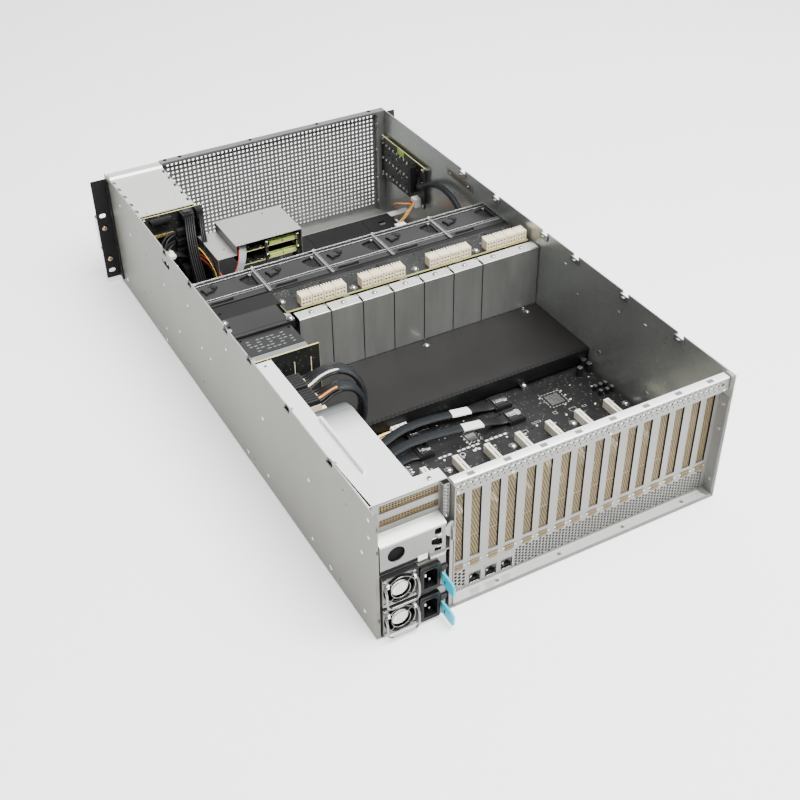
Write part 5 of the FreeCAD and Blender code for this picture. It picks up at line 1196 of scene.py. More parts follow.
def bundle(name, route, node, colours, spread, flat, wrap, lift=0.0):
    """A sleeved flat bundle: the inner wires fan out of the plug, run side by side, and slip into a woven sleeve."""
    line = smooth_line(route, 8)
    n = len(line)
    mb = MB()
    k = len(colours)
    P = [Vector(p) for p in line]
    lens = [0.0]
    for a, b in zip(P, P[1:]):
        lens.append(lens[-1] + (b - a).length)
    total = lens[-1]
    for j in range(k):
        pts = []
        u = (j - (k - 1) / 2)
        for i, p in enumerate(P):
            t = lens[i] / total
            d = (P[min(i + 1, n - 1)] - P[max(i - 1, 0)]).normalized()
            w = Vector((0.10, 1, 0.04))
            w = (w - d * w.dot(d)).normalized()
            h = d.cross(w)
            fan = 1.0 + 0.55 * max(0.0, 1 - t / 0.12) + 0.35 * max(0.0, (t - 0.9) / 0.1)
            amp = spread * fan
            wob = 0.35 * math.sin(t * 9 + j * 1.7)
            pts.append(p + w * (u * amp / k + wob * 0.4) + h * ((flat if j % 2 else -flat) + lift))
        mb.tube(pts, 1.45, colours[j], 8)
    a, b = wrap
    sl = [(P[i], lens[i] / total) for i in range(n) if a <= lens[i] / total <= b]
    # the woven sleeve: an oval section that follows the wires
    vs, fs = [], []
    k0 = len(mb.v)
    N = 20
    idx = mb.mi("sleeve")
    for q_, (p, t) in enumerate(sl):
        i = P.index(p)
        d = (P[min(i + 1, n - 1)] - P[max(i - 1, 0)]).normalized()
        w = Vector((0.10, 1, 0.04))
        w = (w - d * w.dot(d)).normalized()
        h = d.cross(w)
        end = min(1.0, 0.80 + 0.2 * min(q_, len(sl) - 1 - q_) / 3.0)
        rw, rh = (spread * 0.5 + 1.2) * end, 3.9 * end
        for c in range(N + 1):
            an = 2 * math.pi * c / N
            cw, sw = math.cos(an), math.sin(an)
            cw = math.copysign(abs(cw) ** 0.8, cw)
            mb.lay[len(mb.v)] = (an * 1.6, lens[i] * MM, 0.0)
            mb.v.append(tuple(p + w * (rw * cw) + h * (rh * sw + lift)))
    for i in range(len(sl) - 1):
        for c in range(N):
            p0 = k0 + i * (N + 1) + c
            mb.f.append([p0, p0 + 1, p0 + N + 2, p0 + N + 1])
            mb.fm.append(idx)
    mb.make(name, replaces=[node], angle=70)


bundle("harness_one", R1, "power_harness_1", ["wire_black", "wire_black", "wire_black", "wire_black", "wire_black", "wire_black", "wire_black", "wire_yellow", "wire_white", "wire_black"], 16.5, 1.5, (0.22, 0.93))
bundle("harness_two", R2, "power_harness_2", ["wire_black", "wire_black", "wire_black", "wire_orange", "wire_black", "wire_black", "wire_orange", "wire_black", "wire_black", "wire_black"], 16.5, 1.5, (0.17, 0.60))

# ================================================================ card area: tray, long board, sockets, plugs
mb = MB()
mb.plate([(-218.4, 34), (127, 34), (127, 153), (-218.4, 153)], [], "z", 58.3, 59.5, "tray_black")
mb.box(-218.4, 127, 151.8, 153, 38.0, 58.4, "ear_black")
mb.box(-218.4, 127, 34, 35.2, 12, 58.4, "black_coat")
mb.prism([(153.0, 59.3), (153.9, 58.6), (153.9, 40.0), (153.0, 38.2)], "x", -218.4, 127, "ear_black")
for i in range(57):
    mb.box(-215.5 + 6.0 * i, -212.3 + 6.0 * i, 152.9, 154.1, 55.6, 59.2, "black_coat")
    mb.prism([(-218.0 + 6.0 * i, 153.0), (-212.2 + 6.0 * i, 153.0), (-213.6 + 6.0 * i, 149.0), (-216.6 + 6.0 * i, 149.0)], "z", 59.45, 59.65, "ear_black")
mb.box(-218.4, 127, 151.0, 153.1, 59.45, 59.7, "ear_black")
for x, y, r in ((-42.0, 46.5, 3.4), (-196.3, 45.8, 3.0), (-195.5, 37.4, 2.2)):
    mb.cyl("z", (x, y), r * 1.15, 59.4, 60.1, "nickel", 20)
    mb.lathe("z", (x, y), [(r, 60.0), (r, 60.8), (r * 0.7, 61.8), (0, 62.2)], "bright", 20)
mb.make("card_tray_detail", bevel=0.2, replaces=["card_support_tray"])

mb = MB()
hol = [moved(ring(14, 2.0), x, y) for x, y in ((42.3, 243.6), (-45.5, 243.6), (-131.6, 243.6), (-210.0, 243.6))]
mb.plate(rect2(-215.5, 127.2, 112, 346), hol, "z", 32, 34, "pcb_grey")
mb.box(-215.5, 127.2, 345.9, 346.3, 32.1, 33.9, "pcb_edge")


def outline_marks(mb, x, y, w, h, gap=2.2, t=0.5):
    """Printed outline of a part that isn't fitted: broken strokes round a rectangle."""
    n = max(2, int(w / (2 * gap)))
    for i in range(n):
        a = x + w * i / n
        mb.box(a, a + w / n * 0.55, y, y + t, 34.0, 34.07, "mark_white")
        mb.box(a, a + w / n * 0.55, y + h - t, y + h, 34.0, 34.07, "mark_white")
    m_ = max(2, int(h / (2 * gap)))
    for i in range(m_):
        a = y + h * i / m_
        mb.box(x, x + t, a, a + h / m_ * 0.55, 34.0, 34.07, "mark_white")
        mb.box(x + w - t, x + w, a, a + h / m_ * 0.55, 34.0, 34.07, "mark_white")


# bare pad fields with their small parts round them
for cx, cy, s_ in ((-139.5, 193.5, 9.0), (-12.0, 205.5, 6.0), (88.0, 222.0, 5.0)):
    for i in range(9):
        for j in range(9):
            u, v = cx + (i - 4) * s_ / 4.2, cy + (j - 4) * s_ / 4.2
            mb.box(u - s_ * 0.085, u + s_ * 0.085, v - s_ * 0.085, v + s_ * 0.085, 34.0, 34.12, "nickel")
    outline_marks(mb, cx - s_ * 1.5, cy - s_ * 1.5, s_ * 3.0, s_ * 3.0)
    for j in range(14):
        t = 2 * math.pi * j / 14
        u, v = cx + s_ * 1.95 * max(-0.9, min(0.9, 1.25 * math.cos(t))), cy + s_ * 1.95 * max(-0.9, min(0.9, 1.25 * math.sin(t)))
        mb.box(u - 1.1, u + 1.1, v - 0.6, v + 0.6, 34, 34.6, random.choice(("ivory", "nickel", "black_abs")))
for i in range(8):
    x = 115.5 - 42.9 * i
    mb.box(x - 8.4, x - 8.0, 240, 318, 34.0, 34.06, "mark_white")
    for j in range(4):
        mb.box(x - 13.5, x - 12.0, 238 + 12 * j, 239 + 12 * j, 34, 34.7, random.choice(("ivory", "nickel", "black_abs")))
    mb.box(x - 14.5, x - 11.5, 232.5, 235.5, 34, 35.6, "nickel")
    mb.box(x + 7.5, x + 9.5, 226, 228, 34, 35.2, "ivory")
# plain bars where the real board has printing
for i in range(15):
    x = 40 - 6.4 * i
    mb.box(x - 2.2, x + 2.2, 219.0 - 0.02 * i, 221.6, 34.0, 34.06, "mark_white") if i not in (3, 9) else None
for i in range(4):
    mb.box(-4 - 6.0 * i, -0.4 - 6.0 * i, 226.5, 230.0, 34.0, 34.06, "mark_white") if i != 2 else None
mb.prism(moved(ring(20, 3.4), 14, 228), "z", 34.0, 34.06, "mark_white")
mb.prism(moved(ring(20, 2.7), 14, 228), "z", 34.0, 34.08, "pcb_grey")
for x, y, w, h in ((-76, 226, 15, 5), (-100, 219, 12, 3), (-152, 218, 9, 7), (-166, 221, 6, 3), (-127, 214, 5, 5), (24, 158, 18, 8), (-24, 160, 10, 5), (-8, 184, 16, 4)):
    outline_marks(mb, x, y, w, h, 1.3, 0.45)
for i in range(60):
    u, v = -206 + random.random() * 330, 157 + random.random() * 74
    w, h = random.choice(((1.8, 1.0), (1.0, 1.8), (2.6, 1.6)))
    mb.box(u, u + w, v, v + h, 34, 34.5 + random.random() * 0.4, random.choice(("black_abs", "ivory", "nickel", "grey_abs", "mark_white")))
# small round capacitors in a row beside the tray, and the two clusters in the far corner
for i in range(6):
    x = 30 - 8.0 * i
    mb.cyl("z", (x, 158.4), 2.6, 34, 39.5, "grey_abs", 20)
    mb.prism(moved(ring(20, 2.0), x, 158.4), "z", 39.5, 39.7, "nickel")
for x, y, r_, h_ in ((-195.2, 168.0, 4.2, 12), (-211.0, 166.0, 4.2, 12), (-209.5, 156.0, 4.2, 12), (-193.5, 203.0, 3.0, 7), (-201.5, 203.0, 3.0, 7), (-209.0, 203.0, 3.0, 7),
                     (-194.0, 214.0, 3.0, 7), (-203.0, 215.0, 3.0, 7), (-211.0, 214.0, 3.0, 7)):
    mb.cyl("z", (x, y), r_ * 1.12, 34, 35.4, "black_abs", 24)
    mb.lathe("z", (x, y), [(0, 35.4), (r_, 35.4), (r_, 34 + h_ * 0.7), (r_ * 0.93, 34 + h_ * 0.74), (r_, 34 + h_ * 0.78), (r_, 34 + h_ - 0.4), (r_ * 0.9, 34 + h_), (0, 34 + h_)], "black_abs", 24)
    mb.prism(moved(ring(24, r_ * 0.82), x, y), "z", 34 + h_, 34.15 + h_, "nickel")
    mb.prism([(x - r_ * 0.82, y - 0.3), (x + r_ * 0.82, y - 0.3), (x + r_ * 0.82, y + 0.3), (x - r_ * 0.82, y + 0.3)], "z", 34.1 + h_, 34.25 + h_, "black_abs")
mb.make("card_board_detail", replaces=["pcie_board"])

mb = MB()
for k in range(8):
    cx = 115.5 - 42.9 * k
    mb.plate(rect2(cx - 3.8, cx + 3.8, 235.5, 322, 0.4), [rect2(cx - 0.75, cx + 0.75, 238.5, 249.0), rect2(cx - 0.75, cx + 0.75, 251.0, 319.5)], "z", 36.0, 45.2, "socket")
    mb.box(cx - 3.8, cx + 3.8, 235.5, 322, 34.0, 36.2, "socket")
    mb.box(cx - 4.2, cx - 3.8, 236.5, 321, 36.5, 38.0, "socket")
    mb.box(cx - 2.9, cx - 2.5, 237, 320, 45.15, 45.45, "socket")
    mb.box(cx + 2.5, cx + 2.9, 237, 320, 45.15, 45.45, "socket")
    # dark strip paints the shade at the bottom of the card slot
    mb.box(cx - 0.7, cx + 0.7, 238.6, 319.4, 36.2, 37.4, "painted_shade_black")
    for i in range(26):
        y = 252 + 2.6 * i
        mb.box(cx - 0.78, cx - 0.45, y, y + 1.0, 38.5, 44.4, "gold_pad")
        mb.box(cx + 0.45, cx + 0.78, y, y + 1.0, 38.5, 44.4, "gold_pad")
    mb.box(cx - 2.6, cx + 2.6, 322.0, 326.5, 34.0, 40.5, "socket")
    mb.prism([(322.0, 40.5), (326.5, 40.5), (327.6, 46.5), (325.0, 48.0), (322.6, 45.2)], "x", cx - 2.0, cx + 2.0, "socket")
mb.make("card_sockets_detail", bevel=0.15, replaces=["pcie_slots"])



def latch_plug(mb, x0, x1, y0, y1, top):
    """Flat data plug: black shell, stepped nose, a sprung metal latch plate along the middle and two side ears."""
    xm, ym = (x0 + x1) / 2, (y0 + y1) / 2
    mb.prism(rect2(x0, x1, y0, y1, 0.8), "z", 34.0, top - 2.0, "black_abs")
    mb.prism(rect2(x0 + 1.2, x1 - 3.0, y0 + 1.2, y1 - 1.2, 0.8), "z", top - 2.2, top - 0.6, "grey_abs")
    mb.box(x0 + 2.5, x1 - 5.5, ym - 3.6, ym + 3.6, top - 0.8, top + 0.2, "bright")
    mb.prism([(x0 + 4.0, ym - 5.4), (x0 + 8.5, ym - 5.4), (x0 + 8.5, ym + 5.4), (x0 + 4.0, ym + 5.4)], "z", top - 0.8, top + 0.1, "bright")
    mb.box(x0 + 9.5, x1 - 6.5, ym - 1.6, ym + 1.6, top + 0.15, top + 0.9, "bright")
    mb.box(x1 - 4.8, x1 - 3.2, ym - 3.0, ym + 3.0, top - 1.6, top + 0.4, "nickel")
    for s in (-1, 1):
        # dark discs paint the shade in the plug's two holes
        mb.cyl("z", (x0 + 6.0, ym + 6.6 * s), 1.0, top - 0.8, top - 0.3, "painted_shade_black", 12)
        mb.box(x0 + 3.0, x1 - 4.0, ym + 8.4 * s - 0.5, ym + 8.4 * s + 0.5, top - 2.2, top + 0.1, "black_abs") if (y1 - y0) > 18 else None


mb = MB()
latch_plug(mb, -85.0, -61.0, 158.0, 182.0, 42.4)
latch_plug(mb, -85.0, -61.0, 188.5, 212.5, 42.4)
latch_plug(mb, 43.0, 63.0, 193.5, 215.0, 42.4)
latch_plug(mb, 41.0, 57.0, 163.0, 178.0, 41.2)
mb.box(48.5, 70.5, 154.3, 162.0, 34.0, 44.6, "white_abs")
mb.box(49.0, 70.0, 154.6, 161.8, 44.5, 46.0, "white_abs")
# dark bars paint the shade in the white plug's openings
for i in range(3):
    mb.box(51.5 + 6.6 * i, 53.0 + 6.6 * i, 157.0, 159.4, 45.95, 46.1, "painted_shade_black")
for i in range(4):
    mb.box(50.5 + 5.0 * i, 53.5 + 5.0 * i, 161.8, 162.8, 36.0, 43.0, "ivory")
    mb.box(45.8, 48.6, 155.2 + 1.7 * i, 156.2 + 1.7 * i, 42.0, 43.0, "nickel")
pin_block(mb, 180.5, 198.6, 152, 178, 150, 165)
pin_block(mb, 180.5, 198.6, 182, 208, 150, 165)
pin_block(mb, 129, 146, 178, 196, 50, 64)
pin_block(mb, 147.5, 164.5, 190, 208, 50, 64)
mb.make("plugs_detail", bevel=0.25, replaces=["cable_plugs"])



def flat_cable(name, node, route, half, thick, label=None, boot=0.16):
    """A flat woven band round thin pairs: oval section, smooth black boot at the plug, a paper wrap where it shows."""
    line = smooth_line(route, 7)
    P = [Vector(p) for p in line]
    n = len(P)
    lens = [0.0]
    for a, b in zip(P, P[1:]):
        lens.append(lens[-1] + (b - a).length)
    mb = MB()

    def section(i0, i1, w_of, t_of, mat, N=20, lay=1.0):
        k0 = len(mb.v)
        idx = mb.mi(mat)
        for i in range(i0, i1 + 1):
            d_ = (P[min(i + 1, n - 1)] - P[max(i - 1, 0)]).normalized()
            w = Vector((0, 1, 0))
            w = (w - d_ * w.dot(d_)).normalized()
            h = d_.cross(w)
            t = lens[i] / lens[-1]
            for c in range(N + 1):
                an = 2 * math.pi * c / N
                cw = math.copysign(abs(math.cos(an)) ** 0.55, math.cos(an))
                mb.lay[len(mb.v)] = (an * lay, lens[i] * MM, 0.0)
                mb.v.append(tuple(P[i] + w * (w_of(t) * cw) + h * (t_of(t) * math.sin(an))))
        for i in range(i1 - i0):
            for c in range(N):
                p0 = k0 + i * (N + 1) + c
                mb.f.append([p0, p0 + 1, p0 + N + 2, p0 + N + 1])
                mb.fm.append(idx)
        mb.f.append([k0 + c for c in range(N)][::-1])
        mb.fm.append(idx)
        mb.f.append([k0 + (i1 - i0) * (N + 1) + c for c in range(N)])
        mb.fm.append(idx)
    kb = max(2, next(i for i in range(n) if lens[i] / lens[-1] >= boot))
    section(0, kb, lambda t: half + 2.4 * max(0.0, 1 - t / (boot * 0.8)), lambda t: thick * 0.92, "black_abs")
    section(kb - 1, n - 1, lambda t: half, lambda t: thick, "sleeve", lay=1.5)
    if label:
        i0 = next(i for i in range(n) if lens[i] / lens[-1] >= label[0])
        i1 = next(i for i in range(n) if lens[i] / lens[-1] >= label[1])
        section(i0, i1, lambda t: half + 0.35, lambda t: thick + 0.35, "paper")
    mb.make(name, replaces=[node] if node else (), angle=60)


flat_cable("data_cable_a_band", "data_cable_1", [(-61, 170, 38.5), (-55, 170, 38.5), (-46, 171, 41), (-32, 172.5, 44.5), (-16, 172, 46.5), (12, 167.5, 47), (40, 166.4, 48), (64, 168, 48),
                                                 (88, 174.5, 45), (110, 179, 42), (132, 181, 41.5)], 6.6, 2.1, (0.17, 0.285))
flat_cable("data_cable_b_band", "data_cable_2", [(-61, 200.5, 38.5), (-55, 200.5, 38.5), (-46, 201.5, 41), (-34, 202, 44.5), (-17, 201.3, 46.5), (10, 197.3, 47), (36, 194.8, 48),
                                                 (61, 193.2, 47.5), (86, 194.2, 44.5), (104, 199, 41.5), (124, 203, 40)], 6.6, 2.1, (0.18, 0.30))
flat_cable("data_cable_c_band", None, [(63, 204.5, 37.5), (72, 204.5, 37.2), (84, 205.5, 36.8), (100, 208, 36.6), (124, 212, 36.6)], 7.2, 1.5)
mb = MB()
for j in range(4):
    mb.tube(smooth_line([(70, 155.6 + 1.6 * j, 40 + 0.4 * j), (80, 156 + 1.8 * j, 41), (96, 158 + 2.2 * j, 40), (116, 163 + 2 * j, 38), (132, 168 + 2 * j, 38)], 6), 0.95,
            ("wire_yellow", "wire_white", "wire_black", "wire_orange")[j], 8)
mb.make("aux_leads", angle=60)

# ================================================================ rear panel with its windows, covers and strip
mb = MB()
holes = []
centres = []
for j in range(8):
    a = 115.5 - 42.9 * j
    for c in (a, a - 20.32):
        centres.append(c)
        holes.append(rect2(c - 6, c + 6, 45.5, 146, 0.8))
ports = (94.3, 74.2, 54.3)
for c in ports:
    holes.append(rect2(c - 7.6, c + 7.6, 4.8, 21.6, 0.5))


def free(x, z, r=2.6):
    for c in ports:
        if abs(x - c) < 8.2 + r and 3.0 - r < z < 23.0 + r:
            return False
    return True


patch = []
for i in range(59):
    for j in range(6):
        xx, z = 42.0 - 4.35 * i, 5.6 + 4.3 * j + (2.15 if i % 2 else 0.0)
        if xx > -213 and z < 29.5 and free(xx, z):
            patch.append(moved(ring(10, 1.8), xx, z))
for i in range(4):
    for j in range(5):
        if 8.6 + 5.0 * j + (2.5 if i % 2 else 0.0) < 30.0:
            patch.append(moved(ring(12, 2.0), 108.1 + 5.0 * i, 8.6 + 5.0 * j + (2.5 if i % 2 else 0.0)))
mb.plate([(-218.8, 1.2), (128, 1.2), (128, 148.8), (-218.8, 148.8)], holes + patch, "y", 382.8, 384.0, "galv_rear")
# dark sheets behind the perforated fields paint the shade inside the chassis
mb.box(-214.5, 44.2, 382.2, 382.75, 3.5, 31.5, "painted_shade_black")
mb.box(105.6, 125.6, 382.2, 382.75, 3.5, 31.6, "painted_shade_black")
mb.box(-218.8, 128, 384.0, 391.8, 148.9, 150.0, "galv_top_lit")
mb.box(-218.8, 128, 383.4, 384.2, 148.7, 149.0, "galv_top_lit")
mb.prism([(-218.8, 1.25), (128, 1.25), (128, 1.9), (-218.8, 1.9)], "y", 384.0, 398.6, "lip_white_lit")
mb.box(-218.8, 128, 384.0, 384.8, 1.9, 4.0, "galv_rear")
mb.box(-218.8, 128, 398.0, 399.2, 1.3, 3.2, "galv_rear")
for x in (70, -10, -96, -180):
    mb.prism(moved(ring(16, 2.4), x, 391.5), "z", 1.8, 2.05, "galv_dark")
mb.prism([(-218.8, 384.0), (-209, 384.0), (-209, 391), (-213, 397.8), (-218.8, 397.8)], "z", 1.8, 3.0, "galv_rear")
mb.prism([(-218.7, 3.0), (-218.7, 140), (-217.4, 140), (-217.4, 3.0)], "y", 384.2, 398.0, "galv_rear")
for z in (22, 96, 130):
    mb.lathe("x", (392, z), [(2.2, -217.4), (2.2, -216.6), (0, -215.8)], "nickel", 14)
for c in centres:
    # dark strips at each window's edge paint the shadow between the panel and the cover
    mb.box(c - 6.1, c - 4.9, 382.62, 382.8, 45.4, 146.0, "painted_shade_black")
    mb.box(c - 6.05, c - 5.8, 382.7, 384.03, 45.6, 145.9, "painted_shade_black")
    # folded tail of each blanking cover held in its keyhole, with a bright catch at both ends
    tail = [(c - 6.6, 37.6), (c - 5.2, 33.6), (c - 3.6, 32.4), (c + 3.6, 32.4), (c + 5.2, 33.6), (c + 6.6, 37.6), (c + 5.2, 40.4), (c - 5.2, 40.4)]
    mb.prism([(a_, b_ + 0.9) for a_, b_ in tail], "y", 383.9, 384.1, "galv_mesh")
    mb.prism(tail, "y", 384.0, 384.9, "tan_metal")
    mb.prism([(c - 4.4, 33.9), (c + 4.4, 33.9), (c + 5.0, 36.8), (c - 5.0, 36.8)], "y", 384.8, 385.5, "tan_metal")
    for s in (-1, 1):
        mb.lathe("y", (c + 7.2 * s, 38.6), [(0, 383.9), (1.5, 383.9), (1.5, 384.6), (0.9, 385.2), (0, 385.3)], "bright", 10)
for c in ports:
    for a, b, z0, z1 in ((c - 7.9, c - 7.5, 4.6, 21.8), (c + 7.5, c + 7.9, 4.6, 21.8), (c - 7.9, c + 7.9, 21.4, 21.8), (c - 7.9, c + 7.9, 4.4, 4.9)):
        mb.box(a, b, 383.2, 384.35, z0, z1, "ledge_metal")
mb.make("rear_panel_detail", bevel=0.12, replaces=["rear_panel"])

mb = MB()
for c in ports:
    step = [(c - 5.8, 6.6), (c + 5.8, 6.6), (c + 5.8, 14.2), (c + 3.6, 14.2), (c + 3.6, 16.4), (c + 1.9, 16.4), (c + 1.9, 18.2), (c - 1.9, 18.2), (c - 1.9, 16.4), (c - 3.6, 16.4), (c - 3.6, 14.2), (c - 5.8, 14.2)]
    mb.plate(rect2(c - 7.2, c + 7.2, 5.2, 21.2), [step], "y", 381.0, 383.5, "black_abs")
    mb.box(c - 7.2, c - 6.2, 366, 381.0, 5.2, 21.2, "nickel")
    mb.box(c + 6.2, c + 7.2, 366, 381.0, 5.2, 21.2, "nickel")
    mb.box(c - 7.2, c + 7.2, 366, 381.0, 18.4, 21.2, "nickel")
    mb.box(c - 7.2, c + 7.2, 366, 381.0, 5.2, 6.4, "nickel")
    # dark block at the back of the port paints the shade inside it
    mb.box(c - 6.2, c + 6.2, 366, 370, 6.4, 18.4, "painted_shade_black")
    mb.box(c - 5.6, c + 5.6, 383.4, 384.0, 5.9, 6.7, "bright")
    mb.box(c + 3.7, c + 5.6, 383.4, 383.9, 14.3, 16.0, "nickel")
    mb.box(c - 6.4, c - 5.0, 383.4, 383.6, 18.4, 19.6, "mid_abs")
    mb.box(c + 5.0, c + 6.4, 383.4, 383.6, 18.4, 19.6, "mid_abs")
mb.make("network_ports_detail", bevel=0.12, replaces=["network_ports"])


def diagonal_holes(cx, z0, z1, half, r, pitch, fill=None):
    out = []
    i = 0
    z = z0
    while z <= z1:
        off = (i * pitch * 0.34) % pitch
        x = -half + off
        while x <= half:
            out.append(moved(ring(7, r, 0.2 * i), cx + x, z))
            x += pitch
        z += pitch * 0.88
        i += 1
    return out


for half in (0, 1):
    mb = MB()
    for c in centres[half * 8:half * 8 + 8]:
        hol = diagonal_holes(c, 41.5, 147.0, 7.2, 1.15, 3.15)
        mb.plate(rect2(c - 9.2, c + 9.2, 36.0, 150.2), hol, "y", 381.74, 382.6, "tan_metal")
        mb.prism([(382.6, 150.2), (391.0, 150.4), (391.0, 151.2), (381.74, 151.2), (381.74, 149.8)], "x", c - 9.2, c + 9.2, "tan_metal")
        mb.box(c - 9.2, c - 8.4, 380.9, 382.0, 36, 150, "tan_metal")
        mb.box(c + 8.4, c + 9.2, 380.9, 382.0, 36, 150, "tan_metal")
    mb.make("slot_covers_%d" % half, replaces=["slot_covers"] if half == 0 else ())

mb = MB()
strip = []
for i in range(48):
    x = 122.4 - 7.05 * i
    strip.append(moved([(a * 2.5, b * 2.0) for a, b in ring(14, 1.0)], x, 159.4))
    if i < 47:
        strip.append(moved([(a * 1.8, b * 0.65) for a, b in ring(8, 1.0)], x - 3.5, 163.3))
        strip.append(moved([(a * 1.1, b * 0.8) for a, b in ring(8, 1.0)], x - 3.5, 154.6))
mb.plate(rect2(-217.6, 128, 149.2, 166.2), strip, "y", 392.2, 393.4, "galv_rear")
mb.box(-217.0, 127.6, 390.9, 391.3, 150.0, 157.4, "galv_mesh")
mb.prism([(384.6, 157.2), (391.4, 157.2), (391.4, 158.0), (385.4, 158.2)], "x", -217.0, 127.6, "cover_white_lit")
mb.box(-217.0, 127.6, 388.2, 388.8, 158.0, 165.6, "galv_dark")
mb.prism([(383.0, 165.8), (392.4, 165.8), (393.4, 165.6), (393.4, 166.3), (392.4, 167.0), (383.0, 167.0)], "x", -217.6, 128.0, "cover_white_lit")
for i in range(47):
    x = 122.4 - 7.05 * i
    mb.prism(moved([(a * 1.9, b * 1.3) for a, b in ring(10, 1.0)], x + 0.3, 158.9), "y", 391.0, 392.4, "cover_white_lit")
for i in range(8):
    x = 106.5 - 42.9 * i
    mb.box(x - 4, x + 4, 386.0, 391.4, 166.9, 167.3, "galv_rear")
for x in (-212, -60, 60, 124):
    mb.lathe("y", (x, 153), [(0, 393.2), (1.9, 393.2), (1.9, 394.0), (1.2, 394.8), (0, 395.0)], "bright", 16)
mb.make("retention_strip", bevel=0.12, replaces=["retention_bracket"])

# ================================================================ column panels over the supplies
mb = MB()
blank = [(139.6, 88.0), (158.0, 88.0), (158.0, 92.5), (213.6, 92.5), (213.6, 124.6), (139.6, 124.6)]
blob = [(143.6, 98.2), (147.2, 97.6), (151.0, 99.4), (155.2, 101.0), (156.2, 104.4), (155.4, 109.2), (151.4, 111.6), (149.4, 109.6), (148.6, 107.4), (144.6, 106.2), (143.6, 104.0)]
mb.plate(blank, [moved(ring(36, 9.8), 195.4, 108.7), rect2(144.5, 152.2, 113.4, 121.2, 1.8), blob, rect2(144.6, 152.4, 90.6, 95.8, 1.0)], "y", 397.2, 398.4, "blank_grey")
# dark disc behind the round opening paints the shade behind it
mb.lathe("y", (195.4, 108.7), [(0, 395.4), (11.0, 395.4), (11.0, 392.0), (0, 392.0)], "painted_shade_black", 30)
mb.lathe("y", (195.4, 108.7), [(9.75, 397.3), (10.5, 398.3), (10.5, 398.6), (9.75, 398.6)], "galv_rear", 36)
mb.box(144.8, 148.8, 397.6, 399.2, 111.4, 113.4, "bright")
mb.box(150.2, 155.0, 397.0, 398.0, 108.0, 109.4, "bright")
mb.box(145.2, 149.4, 397.6, 399.0, 96.0, 97.6, "bright")
# dark sheets behind the blank plate paint the shade behind its openings
mb.box(140.5, 213.2, 395.0, 395.6, 94.5, 123, "painted_shade_black")
mb.box(140.5, 157.6, 395.0, 395.6, 88.5, 94.5, "painted_shade_black")
# gap over the upper supply: a dark band and a near-black strip that paint the shadow in the gap, a bare white sticker,
# and a grey fold beside it
mb.box(158.4, 213.4, 395.2, 396.6, 84.9, 92.3, "black_coat")
mb.box(158.4, 213.4, 396.5, 397.4, 91.2, 92.3, "painted_shade_black")
mb.box(158.6, 213.2, 396.4, 397.0, 86.0, 87.0, "grey_abs")
mb.prism(rect2(160.4, 171.4, 86.4, 93.6, 0.5), "y", 398.4, 398.75, "paper")
mb.box(162.0, 166.4, 398.7, 398.82, 91.2, 92.2, "galv_dark")
mb.box(139.8, 158.2, 397.6, 400.0, 85.6, 88.2, "galv_mesh")
mb.prism([(399.9, 82.6), (401.2, 82.6), (401.2, 86.4), (397.4, 87.6), (397.4, 86.4), (399.9, 85.6)], "x", 141.2, 158.0, "galv_plate")
# upper part, ledge and the narrow fold at its side
upper_holes = [rect2(140, 206, 153.0, 163.4, 0.8), rect2(140, 206, 136.0, 145.2, 0.8)]
mb.plate(rect2(138.6, 213.6, 128.2, 165.2), upper_holes, "y", 382.8, 384.0, "galv_rear")
mb.prism([(383.6, 129.4), (384.6, 129.2), (398.0, 125.9), (399.0, 125.2), (399.0, 122.9), (398.2, 122.9), (398.2, 124.4), (383.6, 128.2)], "x", 139.2, 213.6, "ledge_metal")
fold_holes = [moved(ring(8, 0.95), 133.2, 128.5 + 4.4 * i) for i in range(9)] + [moved(ring(8, 0.95), 136.6, 130.7 + 4.4 * i) for i in range(8)]
mb.plate(rect2(131.0, 138.8, 122.4, 166.0), fold_holes, "y", 389.2, 390.2, "galv_rear")
# dark strip behind the fold paints the shade behind its holes
mb.box(131.2, 138.6, 388.2, 388.7, 123, 165.6, "painted_shade_black")
mb.box(137.9, 138.8, 384.0, 390.2, 122.4, 166.0, "galv_rear")
mb.lathe("y", (134.8, 124.6), [(0, 390.0), (2.4, 390.0), (2.4, 390.8), (1.5, 391.8), (0, 392.0)], "nickel", 16)
mb.box(130.2, 134.0, 395.8, 397.4, 2.0, 122.0, "galv_rear")
mb.prism([(133.0, 103.0), (136.6, 104.4), (139.4, 108.0), (139.4, 118.0), (136.0, 121.6), (133.0, 122.4)], "y", 396.6, 398.0, "galv_dark")
mb.prism([(396.6, 96.0), (399.4, 97.0), (401.0, 101.6), (401.4, 108.0), (400.2, 114.0), (397.6, 119.6), (396.6, 120.2)], "x", 131.4, 132.7, "galv_rear")
for i, (z0, z1) in enumerate(((153.0, 163.4), (136.0, 145.2))):
    hol = []
    for a in range(19):
        for b_ in range(3):
            w_ = 1.0 if i == 0 else 0.75
            hol.append(rect2(142.2 + 3.32 * a, 142.2 + 2 * w_ + 3.32 * a, z0 + 1.3 + 3.0 * b_, z0 + 3.1 + 3.0 * b_, 0.4, 1))
    mb.plate(rect2(138.8, 211, z0 - 1.6, z1 + 1.2), hol, "y", 381.4, 382.2, "tan_metal")
# dark sheet behind the grilles paints the shade inside the column
mb.box(138.8, 211.4, 379.5, 380.3, 130, 164.6, "painted_shade_black")
mb.make("column_panels_detail", bevel=0.12, replaces=["rear_column_panels"])

